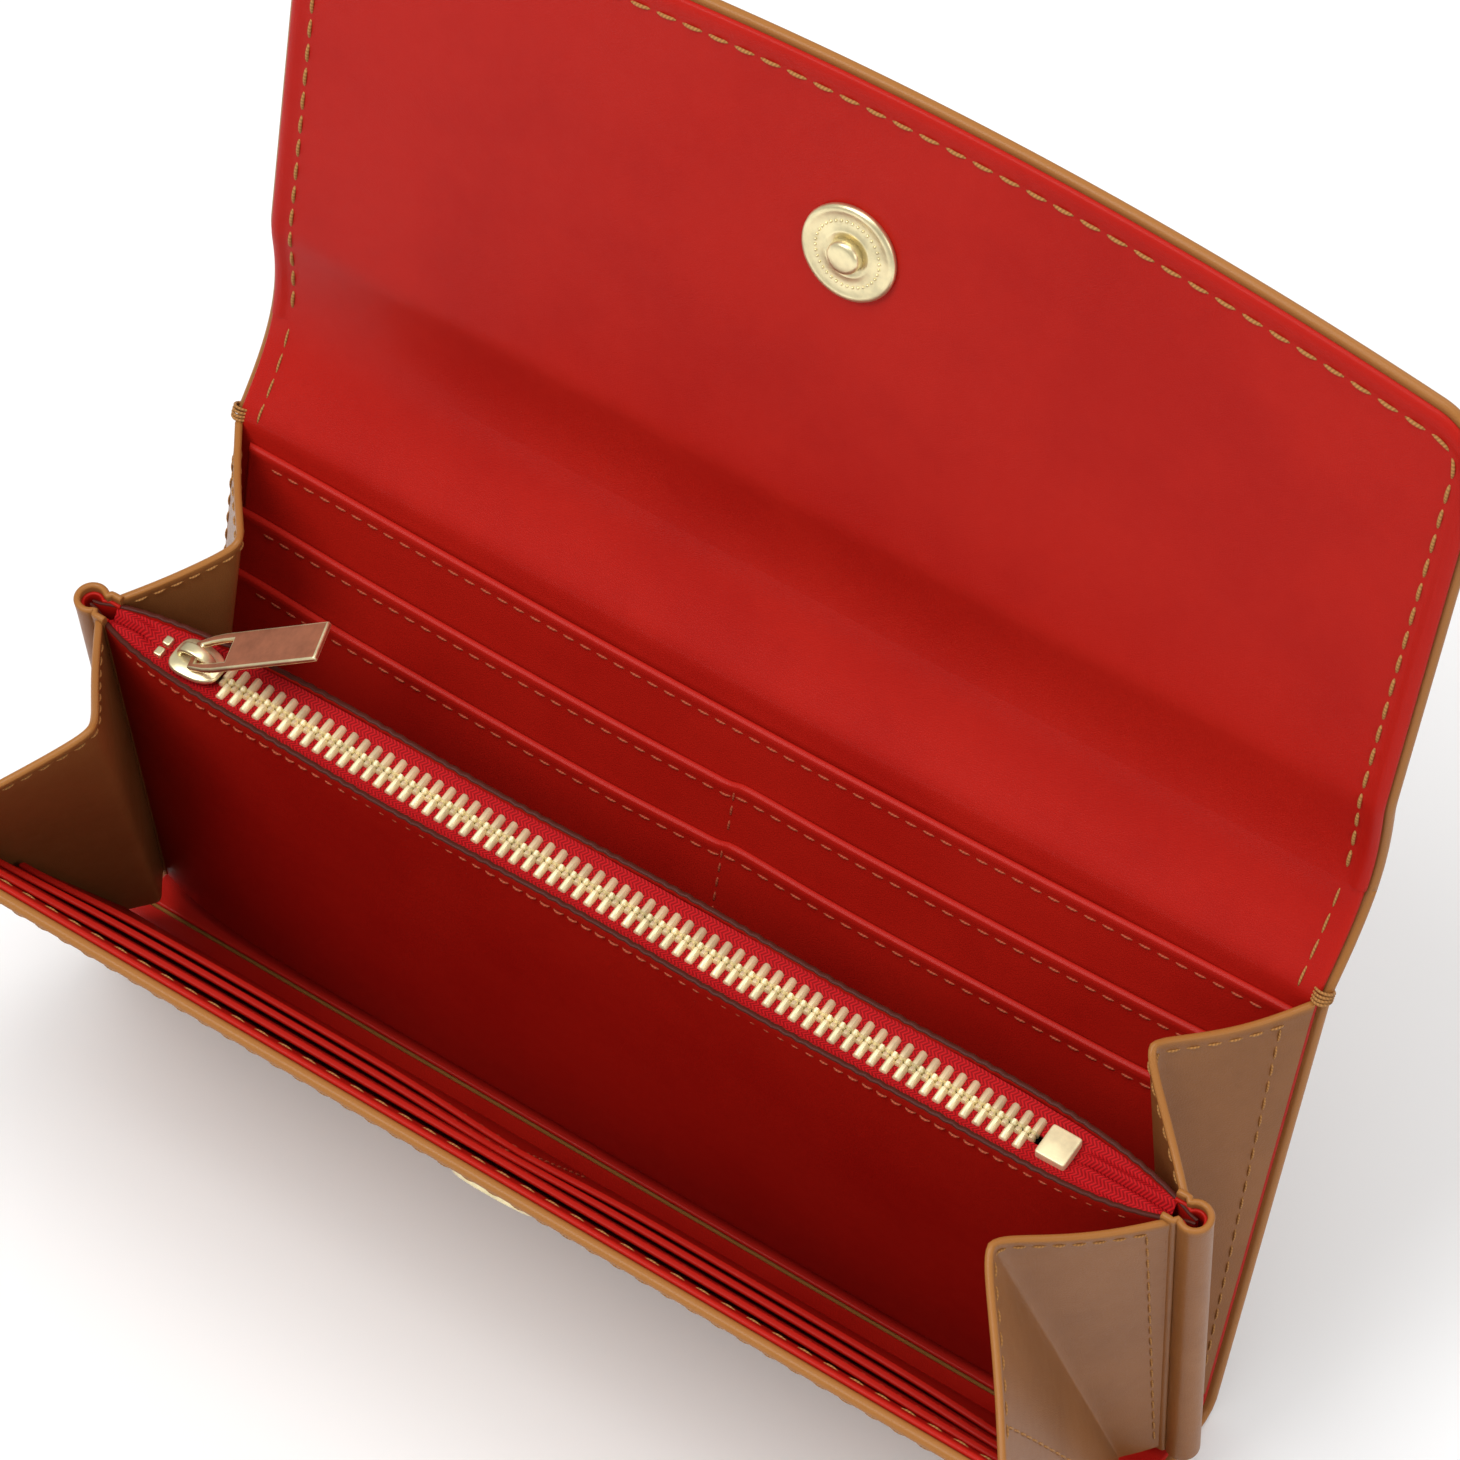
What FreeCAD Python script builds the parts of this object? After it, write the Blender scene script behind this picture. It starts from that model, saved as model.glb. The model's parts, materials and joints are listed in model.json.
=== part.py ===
"""Long flap-over wallet, standing open on its base.

Millimetres. X runs along the width, -Y is the front, +Z is up. The origin is on the underside of the
base, at the middle of its width. Walls, spine, flap and zip pocket lean about X from upright, and a
positive lean is towards the front.
"""

import math
import os

import FreeCAD
import Part

Vector = FreeCAD.Vector

# Leather layers of a wall, measured outwards from its inner face
LINING = 0.8
STIFFENER = 0.7
OUTER = 1.1
WALL = LINING + STIFFENER + OUTER
INSIDE_POCKET = 0.7

# Widths and heights
WIDTH = 190.0
HALF = WIDTH / 2
BACK_HEIGHT = 88.0
FRONT_HEIGHT = 77.0
POCKET_HEIGHT = 71.0
SPINE_RISE = 31.0
SPINE_BACK = 9.9
SPINE_BULGE_RISE = 15.2
SPINE_BULGE_BACK = 9.6
FLAP_SIDE = 65.2
FLAP_BOW = 8.3
FLAP_CORNER = 9.0

# Places and leans of the walls at rest
BACK_CORNER = (8.0, WALL)
BACK_LEAN = -10.0
FRONT_FOLD = (-7.3, WALL)
FRONT_BEND = 10.0
FRONT_LEAN = 32.5
POCKET_FOOT = (-1.5, 6.4)
POCKET_LEAN = 7.5
FLAP_LEAN = -10.5

# Closing turns, used to place the mating half of the snap
FRONT_CLOSE = 40.0
SNAP_GAP = 4.0

# Fold clearances
FOLD_GAP = 1.2
SEAT_GAP = 0.3

# Pockets inside the walls
BACK_SLIP_DROP = 4.0
FRONT_SLIP_DROP = 9.7
TIER_STEP = 11.5
TIER_HALF = 91.0
POCKET_FOOT_GAP = 3.0

# Zip pocket and zip
ZIP_WALL = 0.9
MOUTH_MIDDLE = 4.9
MOUTH_SHOULDER = 4.2
SHOULDER_X = 82.0
MOUTH_END = 0.1
TOOTH_PITCH = 2.2
TOOTH_LENGTH = 1.3
TOOTH_INNER = 0.5
TOOTH_OUTER = 1.9
TOOTH_LOW = 68.0
TOOTH_HIGH = 69.8
TAPE_LOW = 68.6
TAPE_HIGH = 69.2
TAPE_HALF = 88.0
TEETH_START = -68.5
TEETH_END = 71.0
SLIDER_X = -76.0
SLIDER_HALF_LENGTH = 4.2
SLIDER_HALF_WIDTH = 3.7
TAB_LENGTH = 25.0
TAB_WIDTH = 7.0
TAB_THICKNESS = 1.1
TAB_LIFT = 30.0
TAB_YAW = 17.0

# Magnetic snap
SNAP_DROP = 45.8
SNAP_RADIUS = 7.5
SNAP_DISC = 1.2
STUD_RADIUS = 2.8
STUD_HEIGHT = 1.6
SOCKET_HEIGHT = 2.4
SOCKET_BORE = 3.5
SOCKET_DEPTH = 2.0
WASHER_RADIUS = 6.0

# Gusset
GUSSET = 0.9
LOOP_OUTER = 2.6
LOOP_INNER = 1.6
LOOP_X = 95.6


def lean_dir(lean):
    """Unit (y, z) direction that points up a wall of this lean."""
    a = math.radians(lean)
    return (-math.sin(a), math.cos(a))


def back_dir(lean):
    """Unit (y, z) direction square to a wall of this lean, towards the back."""
    a = math.radians(lean)
    return (math.cos(a), math.sin(a))


def move(point, direction, distance):
    """The (y, z) point a distance along a direction."""
    return (point[0] + direction[0] * distance, point[1] + direction[1] * distance)


def turned(point, centre, degrees):
    """The (y, z) point turned about a centre, positive towards the front."""
    a = math.radians(degrees)
    y = point[0] - centre[0]
    z = point[1] - centre[1]
    return (centre[0] + y * math.cos(a) - z * math.sin(a), centre[1] + y * math.sin(a) + z * math.cos(a))


def lean_of(start, end):
    """Lean in degrees of the line from one (y, z) point up to another."""
    return math.degrees(math.atan2(start[0] - end[0], end[1] - start[1]))


# Points of the side profile, as (y, z)
FRONT_HINGE = (FRONT_FOLD[0], WALL / 2)
BEND_CENTRE = (FRONT_FOLD[0], FRONT_FOLD[1] + FRONT_BEND)
BEND_END_ANGLE = -90.0 - (90.0 - FRONT_LEAN)
FRONT_FOOT = move(BEND_CENTRE, (math.cos(math.radians(BEND_END_ANGLE)), math.sin(math.radians(BEND_END_ANGLE))),
                  FRONT_BEND)
FRONT_TOP = move(FRONT_FOOT, lean_dir(FRONT_LEAN), FRONT_HEIGHT)
BACK_TOP = move(BACK_CORNER, lean_dir(BACK_LEAN), BACK_HEIGHT)
FLAP_FOOT = (BACK_TOP[0] + SPINE_BACK, BACK_TOP[1] + SPINE_RISE)
SPINE_MIDDLE = (BACK_TOP[0] + SPINE_BULGE_BACK, BACK_TOP[1] + SPINE_BULGE_RISE)
SPINE_HINGE = move(BACK_TOP, back_dir(BACK_LEAN), WALL / 2)
FLAP_HINGE = move(FLAP_FOOT, back_dir(FLAP_LEAN), WALL / 2)


def closed_shape():
    """Turns of the spine and of the flap when shut, and how far the flap's crease then stands above the rim.

    The front is turned shut first. The shut flap lies parallel to it, a snap's thickness in front, and its
    crease is where the line through its mid thickness meets the circle that the spine carries it round.
    """
    rim = turned(FRONT_TOP, FRONT_HINGE, -FRONT_CLOSE)
    lean = FRONT_LEAN - FRONT_CLOSE
    line = move(rim, back_dir(lean), -(WALL + SNAP_GAP + WALL / 2))
    reach = math.dist(SPINE_HINGE, FLAP_HINGE)
    up = lean_dir(lean)
    offset = (line[0] - SPINE_HINGE[0], line[1] - SPINE_HINGE[1])
    along = offset[0] * up[0] + offset[1] * up[1]
    above = -along + math.sqrt(along * along - offset[0] ** 2 - offset[1] ** 2 + reach * reach)
    crease = move(line, up, above)
    spine_turn = lean_of(SPINE_HINGE, crease) - lean_of(SPINE_HINGE, FLAP_HINGE)
    flap_turn = (lean + 180.0 - FLAP_LEAN) - spine_turn
    return spine_turn, flap_turn, above


SPINE_CLOSE, FLAP_CLOSE, CREASE_ABOVE_RIM = closed_shape()
SOCKET_UP = FRONT_HEIGHT - (SNAP_DROP - CREASE_ABOVE_RIM)


def at(shape, foot, lean):
    """Stand a shape made on its wall's own axes (X, back, up) at the wall's foot and lean."""
    shape.rotate(Vector(0, 0, 0), Vector(1, 0, 0), lean)
    shape.translate(Vector(0, foot[0], foot[1]))
    return shape


def box(x, y, z):
    """Box from three (low, high) pairs."""
    return Part.makeBox(x[1] - x[0], y[1] - y[0], z[1] - z[0], Vector(x[0], y[0], z[0]))


def disc(radius, y, up, x=0.0):
    """Round plate across a wall, between two distances from its inner face."""
    return Part.makeCylinder(radius, y[1] - y[0], Vector(x, y[0], up), Vector(0, 1, 0))


def plan(points, low, height):
    """Upright prism from (x, y) points."""
    corners = [Vector(x, y, low) for x, y in points]
    return Part.Face(Part.makePolygon(corners + corners[:1])).extrude(Vector(0, 0, height))


def write(name, shape):
    """Write one named sub-part."""
    shape.exportStep(os.path.join("parts", name + ".step"))


def polar(centre, radius, degrees):
    """(y, z) point on a circle."""
    a = math.radians(degrees)
    return (centre[0] + radius * math.cos(a), centre[1] + radius * math.sin(a))


def arc_edge(centre, radius, start, end):
    """Arc in the side profile, from its two angles."""
    ends = [polar(centre, radius, a) for a in (start, (start + end) / 2, end)]
    return Part.Arc(*[Vector(-HALF, y, z) for y, z in ends]).toShape()


def line_edge(start, end):
    """Straight edge in the side profile."""
    return Part.LineSegment(Vector(-HALF, *start), Vector(-HALF, *end)).toShape()


def swept_layer(edges):
    """Leather layer across the full width, from the edges of its closed side profile."""
    wire = Part.Wire(Part.__sortEdges__(edges))
    return Part.Face(wire).extrude(Vector(WIDTH, 0, 0))


def base_and_back(inner, outer, top):
    """Layer that runs along the base, round the back corner and up the back wall."""
    normal = back_dir(BACK_LEAN)
    edges = []
    ends = []
    for depth in (inner, outer):
        start = (FRONT_FOLD[0] + FOLD_GAP, BACK_CORNER[1] - depth)
        corner = (BACK_CORNER[0], BACK_CORNER[1] - depth)
        foot = move(BACK_CORNER, normal, depth)
        head = move(foot, lean_dir(BACK_LEAN), top)
        edges.append(line_edge(start, corner))
        if depth > 0:
            edges.append(arc_edge(BACK_CORNER, depth, -90.0, BACK_LEAN))
        edges.append(line_edge(foot, head))
        ends.append((start, head))
    edges.append(line_edge(ends[0][0], ends[1][0]))
    edges.append(line_edge(ends[0][1], ends[1][1]))
    return swept_layer(edges)


def bend_and_front(inner, outer, top):
    """Layer that rises from the base round the front bend and up the front wall."""
    start_angle = -90.0 - math.degrees(FOLD_GAP / FRONT_BEND)
    normal = back_dir(FRONT_LEAN)
    edges = []
    ends = []
    for depth in (inner, outer):
        radius = FRONT_BEND + depth
        foot = move(FRONT_FOOT, normal, -depth)
        head = move(foot, lean_dir(FRONT_LEAN), top)
        edges.append(arc_edge(BEND_CENTRE, radius, start_angle, BEND_END_ANGLE))
        edges.append(line_edge(foot, head))
        ends.append((polar(BEND_CENTRE, radius, start_angle), head))
    edges.append(line_edge(ends[0][0], ends[1][0]))
    edges.append(line_edge(ends[0][1], ends[1][1]))
    return swept_layer(edges)


def spine_circle():
    """Centre, radius and end angles of the spine's curved inner face."""
    a, b, c = BACK_TOP, SPINE_MIDDLE, FLAP_FOOT
    circle = Part.Arc(*[Vector(0, y, z) for y, z in (a, b, c)]).toShape().Curve
    centre = (circle.Center.y, circle.Center.z)
    angles = [math.degrees(math.atan2(p[1] - centre[1], p[0] - centre[0])) for p in (a, c)]
    return centre, circle.Radius, angles


def spine_layer(inner, outer):
    """Curved layer between the back wall's top and the flap's crease."""
    centre, radius, (low, high) = spine_circle()
    trim = math.degrees(FOLD_GAP / radius)
    low += trim
    high -= trim
    edges = [arc_edge(centre, radius + depth, low, high) for depth in (inner, outer)]
    for angle in (low, high):
        edges.append(line_edge(polar(centre, radius + inner, angle), polar(centre, radius + outer, angle)))
    return swept_layer(edges)


def flap_layer(inner, outer, inset):
    """Flap layer with a bowed free edge and rounded corners."""
    half = HALF - inset
    side = FLAP_SIDE - inset
    bow = FLAP_SIDE + FLAP_BOW - inset
    low = FOLD_GAP + inset
    corners = [Vector(x, inner, z) for x, z in ((half, side), (half, low), (-half, low), (-half, side))]
    edges = [Part.LineSegment(a, b).toShape() for a, b in zip(corners, corners[1:])]
    edges.append(Part.Arc(corners[3], Vector(0, inner, bow), corners[0]).toShape())
    shape = Part.Face(Part.Wire(edges)).extrude(Vector(0, outer - inner, 0))
    round_edges = [e for e in shape.Edges
                   if len(e.Vertexes) == 2 and all(abs(v.Point.z - side) < 1e-6 for v in e.Vertexes)
                   and abs(e.Vertexes[0].Point.y - e.Vertexes[1].Point.y) > 1e-6]
    return shape.makeFillet(FLAP_CORNER - inset, round_edges)


def make_back():
    """Base and back wall, one continuous outer leather and lining, with the pockets sewn inside."""
    top = BACK_HEIGHT - FOLD_GAP
    write("base_and_back_leather", base_and_back(LINING + STIFFENER, WALL, top))
    write("base_and_back_lining", base_and_back(0.0, LINING, top))
    board = box((-HALF + 2, HALF - 2), (LINING, LINING + STIFFENER), (3.0, top - 2))
    write("back_stiffener", at(board, BACK_CORNER, BACK_LEAN))
    base = box((-HALF + 2, HALF - 2), (FRONT_FOLD[0] + FOLD_GAP + 0.5, BACK_CORNER[0] - 0.5),
               (OUTER, OUTER + STIFFENER))
    write("base_stiffener", base)
    write_inside_pockets("back", BACK_CORNER, BACK_LEAN, BACK_HEIGHT - BACK_SLIP_DROP, -1)


def write_inside_pockets(side, foot, lean, slip_top, towards):
    """Slip pocket and two card tiers on the inner face of a wall, each in front of the last."""
    names = ("slip_pocket", "upper_card_tier", "lower_card_tier")
    for layer, name in enumerate(names):
        near = towards * INSIDE_POCKET * layer
        far = towards * INSIDE_POCKET * (layer + 1)
        top = slip_top - TIER_STEP * layer
        sheet = box((-TIER_HALF, TIER_HALF), (min(near, far), max(near, far)), (POCKET_FOOT_GAP, top))
        write(side + "_" + name, at(sheet, foot, lean))


def make_front():
    """Front wall with its rounded foot, pockets and the mating half of the snap."""
    top = FRONT_HEIGHT
    write("front_leather", bend_and_front(LINING + STIFFENER, WALL, top))
    write("front_lining", bend_and_front(0.0, LINING, top))
    board_depth = (-LINING - STIFFENER, -LINING)
    board = box((-HALF + 2, HALF - 2), board_depth, (1.0, top - 2))
    board = board.cut(disc(WASHER_RADIUS + SEAT_GAP, board_depth, SOCKET_UP))
    write("front_stiffener", at(board, FRONT_FOOT, FRONT_LEAN))
    write("snap_socket_washer", at(disc(WASHER_RADIUS, board_depth, SOCKET_UP), FRONT_FOOT, FRONT_LEAN))
    write_inside_pockets("front", FRONT_FOOT, FRONT_LEAN, FRONT_HEIGHT - FRONT_SLIP_DROP, 1)
    low = -WALL - SOCKET_HEIGHT
    magnet_depth = (low + 0.4, -WALL - 0.4)
    cavity = disc(SNAP_RADIUS - 1.0, magnet_depth, SOCKET_UP).cut(disc(SOCKET_BORE + 0.7, magnet_depth, SOCKET_UP))
    housing = disc(SNAP_RADIUS, (low, -WALL), SOCKET_UP)
    housing = housing.cut(disc(SOCKET_BORE, (low, low + SOCKET_DEPTH), SOCKET_UP)).cut(cavity)
    magnet = disc(SNAP_RADIUS - 1.1, magnet_depth, SOCKET_UP).cut(disc(SOCKET_BORE + 0.8, magnet_depth, SOCKET_UP))
    write("snap_socket", at(housing, FRONT_FOOT, FRONT_LEAN))
    write("snap_magnet", at(magnet, FRONT_FOOT, FRONT_LEAN))


def make_spine():
    """Curved strip between the two creases."""
    write("spine_leather", spine_layer(LINING + STIFFENER, WALL))
    write("spine_interlining", spine_layer(LINING, LINING + STIFFENER))
    write("spine_lining", spine_layer(0.0, LINING))


def make_flap():
    """Flap with its snap disc, stud and the washer behind them."""
    write("flap_leather", at(flap_layer(LINING + STIFFENER, WALL, 0.0), FLAP_FOOT, FLAP_LEAN))
    write("flap_lining", at(flap_layer(0.0, LINING, 0.0), FLAP_FOOT, FLAP_LEAN))
    board_depth = (LINING, LINING + STIFFENER)
    board = flap_layer(*board_depth, 3.0).cut(disc(WASHER_RADIUS + SEAT_GAP, board_depth, SNAP_DROP))
    write("flap_stiffener", at(board, FLAP_FOOT, FLAP_LEAN))
    write("snap_stud_washer", at(disc(WASHER_RADIUS, board_depth, SNAP_DROP), FLAP_FOOT, FLAP_LEAN))
    stud = disc(STUD_RADIUS, (-SNAP_DISC - STUD_HEIGHT, -SNAP_DISC), SNAP_DROP)
    write("snap_disc", at(disc(SNAP_RADIUS, (-SNAP_DISC, 0.0), SNAP_DROP), FLAP_FOOT, FLAP_LEAN))
    write("snap_stud", at(stud, FLAP_FOOT, FLAP_LEAN))


def mouth(extra, end_x):
    """Points (x, y) along one lip of the zip pocket's mouth, set out by an extra distance."""
    return [(-end_x, MOUTH_END + extra), (-SHOULDER_X, MOUTH_SHOULDER + extra), (0.0, MOUTH_MIDDLE + extra),
            (SHOULDER_X, MOUTH_SHOULDER + extra), (end_x, MOUTH_END + extra)]


def mirrored(points, side):
    """Points on the back (1) or the front (-1) lip."""
    return [(x, side * y) for x, y in points]


def make_zip_pocket():
    """Two walls, a floor, zip tapes, teeth, stops and end box."""
    for name, side in (("back", 1), ("front", -1)):
        lip = mirrored(mouth(0.0, HALF) + mouth(ZIP_WALL, HALF)[::-1], side)
        wall = plan(lip, 0.0, POCKET_HEIGHT)
        write("zip_pocket_" + name + "_wall", at(wall, POCKET_FOOT, POCKET_LEAN))
        tape_edge = [(x, max(y - 0.1, TOOTH_OUTER)) for x, y in mouth(0.0, HALF)[1:-1]]
        tape = [(-TAPE_HALF, TOOTH_OUTER)] + tape_edge + [(TAPE_HALF, TOOTH_OUTER)]
        tape = plan(mirrored(tape, side), TAPE_LOW, TAPE_HIGH - TAPE_LOW)
        write("zip_tape_" + name, at(tape, POCKET_FOOT, POCKET_LEAN))
        write("zip_teeth_" + name, at(tooth_row(side), POCKET_FOOT, POCKET_LEAN))
    rim = mouth(-0.1, HALF - 1.0)[1:-1]
    floor = plan([(-HALF + 2, 0.0)] + rim + [(HALF - 2, 0.0)] + mirrored(rim, -1)[::-1], 0.0, ZIP_WALL)
    write("zip_pocket_floor", at(floor, POCKET_FOOT, POCKET_LEAN))
    end_box = box((TEETH_END + 1.0, TEETH_END + 4.6), (-TOOTH_OUTER, TOOTH_OUTER), (TOOTH_LOW, TOOTH_HIGH + 0.3))
    write("zip_end_box", at(end_box, POCKET_FOOT, POCKET_LEAN))
    stops = [box((-83.4, -82.0), (min(a, b), max(a, b)), (TOOTH_LOW, TOOTH_HIGH))
             for a, b in ((TOOTH_INNER, TOOTH_OUTER), (-TOOTH_INNER, -TOOTH_OUTER))]
    write("zip_top_stops", at(Part.makeCompound(stops), POCKET_FOOT, POCKET_LEAN))


def tooth_row(side):
    """Row of separate teeth along one side of the zip, the other row half a pitch along."""
    start = TEETH_START + (TOOTH_PITCH / 2 if side < 0 else 0.0)
    count = int((TEETH_END - start) // TOOTH_PITCH)
    across = sorted((side * TOOTH_INNER, side * TOOTH_OUTER))
    teeth = []
    for index in range(count):
        x = start + index * TOOTH_PITCH
        teeth.append(box((x, x + TOOTH_LENGTH), across, (TOOTH_LOW, TOOTH_HIGH)))
    return Part.makeCompound(teeth)


def make_slider():
    """Slider body with upper and lower plates joined by a web, and lugs for the tab's pin."""
    x = (SLIDER_X - SLIDER_HALF_LENGTH, SLIDER_X + SLIDER_HALF_LENGTH)
    y = (-SLIDER_HALF_WIDTH, SLIDER_HALF_WIDTH)
    roof = TOOTH_HIGH + SEAT_GAP
    floor = TOOTH_LOW - SEAT_GAP
    body = box(x, y, (roof, roof + 0.9)).fuse(box(x, y, (floor - 0.9, floor)))
    body = body.fuse(box((x[0] + 0.4, x[0] + 1.8), (-0.25, 0.25), (floor, roof)))
    for side in (1, -1):
        lug = sorted((side * 1.5, side * 2.3))
        body = body.fuse(box((SLIDER_X - 1.2, SLIDER_X + 1.2), lug, (roof + 0.9, tab_pin_height() + 1.0)))
    pin = Part.makeCylinder(0.45, 3.0, Vector(SLIDER_X, -1.5, tab_pin_height()), Vector(0, 1, 0))
    write("zip_slider", at(body.removeSplitter(), POCKET_FOOT, POCKET_LEAN))
    write("zip_slider_pin", at(pin, POCKET_FOOT, POCKET_LEAN))


def tab_pin_height():
    """Height of the tab's pin on the zip pocket's own axes."""
    return TOOTH_HIGH + SEAT_GAP + 0.9 + 1.4


def make_tab():
    """Flat pull tab with a rectangular window, its narrow end round the slider's pin."""
    half = TAB_THICKNESS / 2
    plate = box((3.2, TAB_LENGTH), (-TAB_WIDTH / 2, TAB_WIDTH / 2), (-half, half))
    plate = plate.cut(box((4.4, 8.4), (-TAB_WIDTH / 2 + 1.3, TAB_WIDTH / 2 - 1.3), (-half, half)))
    eye = box((0.0, 3.2), (-1.0, 1.0), (-half, half))
    eye = eye.fuse(Part.makeCylinder(1.1, 2.0, Vector(0, -1.0, 0), Vector(0, 1, 0)))
    tab = plate.fuse(eye).cut(Part.makeCylinder(0.75, 8.0, Vector(0, -4.0, 0), Vector(0, 1, 0))).removeSplitter()
    tab.rotate(Vector(0, 0, 0), Vector(0, 1, 0), -TAB_LIFT)
    tab.rotate(Vector(0, 0, 0), Vector(0, 0, 1), TAB_YAW)
    tab.translate(Vector(SLIDER_X, 0, tab_pin_height()))
    write("zip_pull_tab", at(tab, POCKET_FOOT, POCKET_LEAN))


def triangle_plate(points, out):
    """Thin three-cornered plate, thickened outwards along X."""
    corners = [Vector(*p) for p in points]
    return Part.Face(Part.makePolygon(corners + corners[:1])).extrude(Vector(out, 0, 0))


def folded_panel(edge, fold, loop, out):
    """Two flat facets that meet at an inward fold, each given by its (top, foot) points."""
    shape = None
    for near, far in ((edge, fold), (fold, loop)):
        for corners in ((near[0], near[1], far[1]), (near[0], far[1], far[0])):
            facet = triangle_plate(corners, out)
            shape = facet if shape is None else shape.fuse(facet)
    return shape.removeSplitter()


def gusset_lines(side):
    """Edge, fold and loop lines of the gusset on one side, each as its (top, foot) points."""
    pocket_top = move(POCKET_FOOT, lean_dir(POCKET_LEAN), POCKET_HEIGHT - 2.0)
    pocket_foot = move(POCKET_FOOT, lean_dir(POCKET_LEAN), 4.0)
    back = [move(move(BACK_CORNER, lean_dir(BACK_LEAN), up), back_dir(BACK_LEAN), -0.5) for up in (86.0, 8.0)]
    front = [move(move(FRONT_FOOT, lean_dir(FRONT_LEAN), up), back_dir(FRONT_LEAN), 0.5) for up in (75.5, 3.0)]
    edge_x = side * (HALF - 1.5)
    loop_x = side * (HALF - 3.4)
    lines = {
        "back_edge": [(edge_x, y, z) for y, z in back],
        "back_fold": [(side * 79.0, 3.6, 88.5), (side * 90.0, 4.2, 12.0)],
        "back_loop": [(loop_x, y + 3.4, z) for y, z in (pocket_top, pocket_foot)],
        "front_edge": [(edge_x, y, z) for y, z in front],
        "front_fold": [(side * 77.0, -34.5, 84.0), (side * 89.0, -12.5, 13.5)],
        "front_loop": [(loop_x, y - 3.6, z) for y, z in (pocket_top, pocket_foot)],
    }
    return lines


def make_gussets():
    """W-shaped gusset at each end: a back and a front panel, and the tube round the zip pocket's end."""
    for name, side in (("left", -1), ("right", 1)):
        lines = gusset_lines(side)
        for half in ("back", "front"):
            panel = folded_panel(lines[half + "_edge"], lines[half + "_fold"], lines[half + "_loop"], side * GUSSET)
            write("gusset_" + half + "_" + name, panel)
        centre = Vector(side * LOOP_X, 0, 0)
        tube = Part.makeCylinder(LOOP_OUTER, POCKET_HEIGHT + 1.0, centre)
        tube = tube.cut(Part.makeCylinder(LOOP_INNER, POCKET_HEIGHT + 1.0, centre))
        slot = sorted((side * (LOOP_X - LOOP_OUTER - 1.0), side * LOOP_X))
        tube = tube.cut(box(slot, (-1.5, 1.5), (0.0, POCKET_HEIGHT + 1.0)))
        write("gusset_loop_" + name, at(tube, POCKET_FOOT, POCKET_LEAN))


os.makedirs("parts", exist_ok=True)
make_back()
make_front()
make_spine()
make_flap()
make_zip_pocket()
make_slider()
make_tab()
make_gussets()
print("spine closes by %.3f, flap by %.3f degrees" % (SPINE_CLOSE, FLAP_CLOSE))
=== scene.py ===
"""Long flap-over wallet: leather, lining, card pockets, gussets, zip and snap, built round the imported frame.

Laid out as a Blender add-on and run as a script. Lengths are metres. X runs along the wallet, -Y is the
front, +Z is up. Every sheet of leather is a grid of two parameters: x across, and the length along the
wallet's side profile.
"""

import json
import math

import bpy
import numpy as np
from bpy.props import FloatProperty, FloatVectorProperty, IntProperty, PointerProperty
from mathutils import Matrix, Vector


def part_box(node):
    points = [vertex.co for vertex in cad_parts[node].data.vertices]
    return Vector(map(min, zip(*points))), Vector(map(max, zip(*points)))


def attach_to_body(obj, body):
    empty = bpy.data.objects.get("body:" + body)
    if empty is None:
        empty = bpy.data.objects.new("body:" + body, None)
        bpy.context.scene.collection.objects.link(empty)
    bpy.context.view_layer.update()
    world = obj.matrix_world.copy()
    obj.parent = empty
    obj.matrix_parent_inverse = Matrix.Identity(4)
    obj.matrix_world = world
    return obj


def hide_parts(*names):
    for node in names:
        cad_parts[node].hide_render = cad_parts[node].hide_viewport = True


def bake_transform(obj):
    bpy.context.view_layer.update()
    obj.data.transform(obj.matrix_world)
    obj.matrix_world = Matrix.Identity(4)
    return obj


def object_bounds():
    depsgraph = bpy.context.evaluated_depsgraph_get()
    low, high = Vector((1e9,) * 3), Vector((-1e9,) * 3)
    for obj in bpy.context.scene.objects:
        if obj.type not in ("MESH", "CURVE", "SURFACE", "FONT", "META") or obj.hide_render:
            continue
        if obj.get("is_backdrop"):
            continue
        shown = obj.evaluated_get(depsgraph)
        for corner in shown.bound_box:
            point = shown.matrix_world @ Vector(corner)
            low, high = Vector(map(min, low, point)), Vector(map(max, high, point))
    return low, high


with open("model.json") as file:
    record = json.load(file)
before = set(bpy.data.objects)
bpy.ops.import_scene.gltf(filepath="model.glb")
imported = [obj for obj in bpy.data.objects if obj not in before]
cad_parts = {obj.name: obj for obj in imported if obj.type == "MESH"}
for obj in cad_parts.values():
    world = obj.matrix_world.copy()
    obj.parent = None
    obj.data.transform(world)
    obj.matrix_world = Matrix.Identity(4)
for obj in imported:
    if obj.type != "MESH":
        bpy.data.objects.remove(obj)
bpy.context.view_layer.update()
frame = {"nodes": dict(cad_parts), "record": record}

bl_info = {
    "name": "Long wallet",
    "version": (1, 0, 0),
    "blender": (4, 5, 0),
    "location": "View3D > Sidebar > Wallet",
    "description": "Builds the leather, threads, zip and snap of a long wallet round its packed frame",
    "category": "Object",
}

MM = 0.001
JOINTS = {joint["name"]: joint for joint in frame["record"]["behaviour"]["joints"]}

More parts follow.
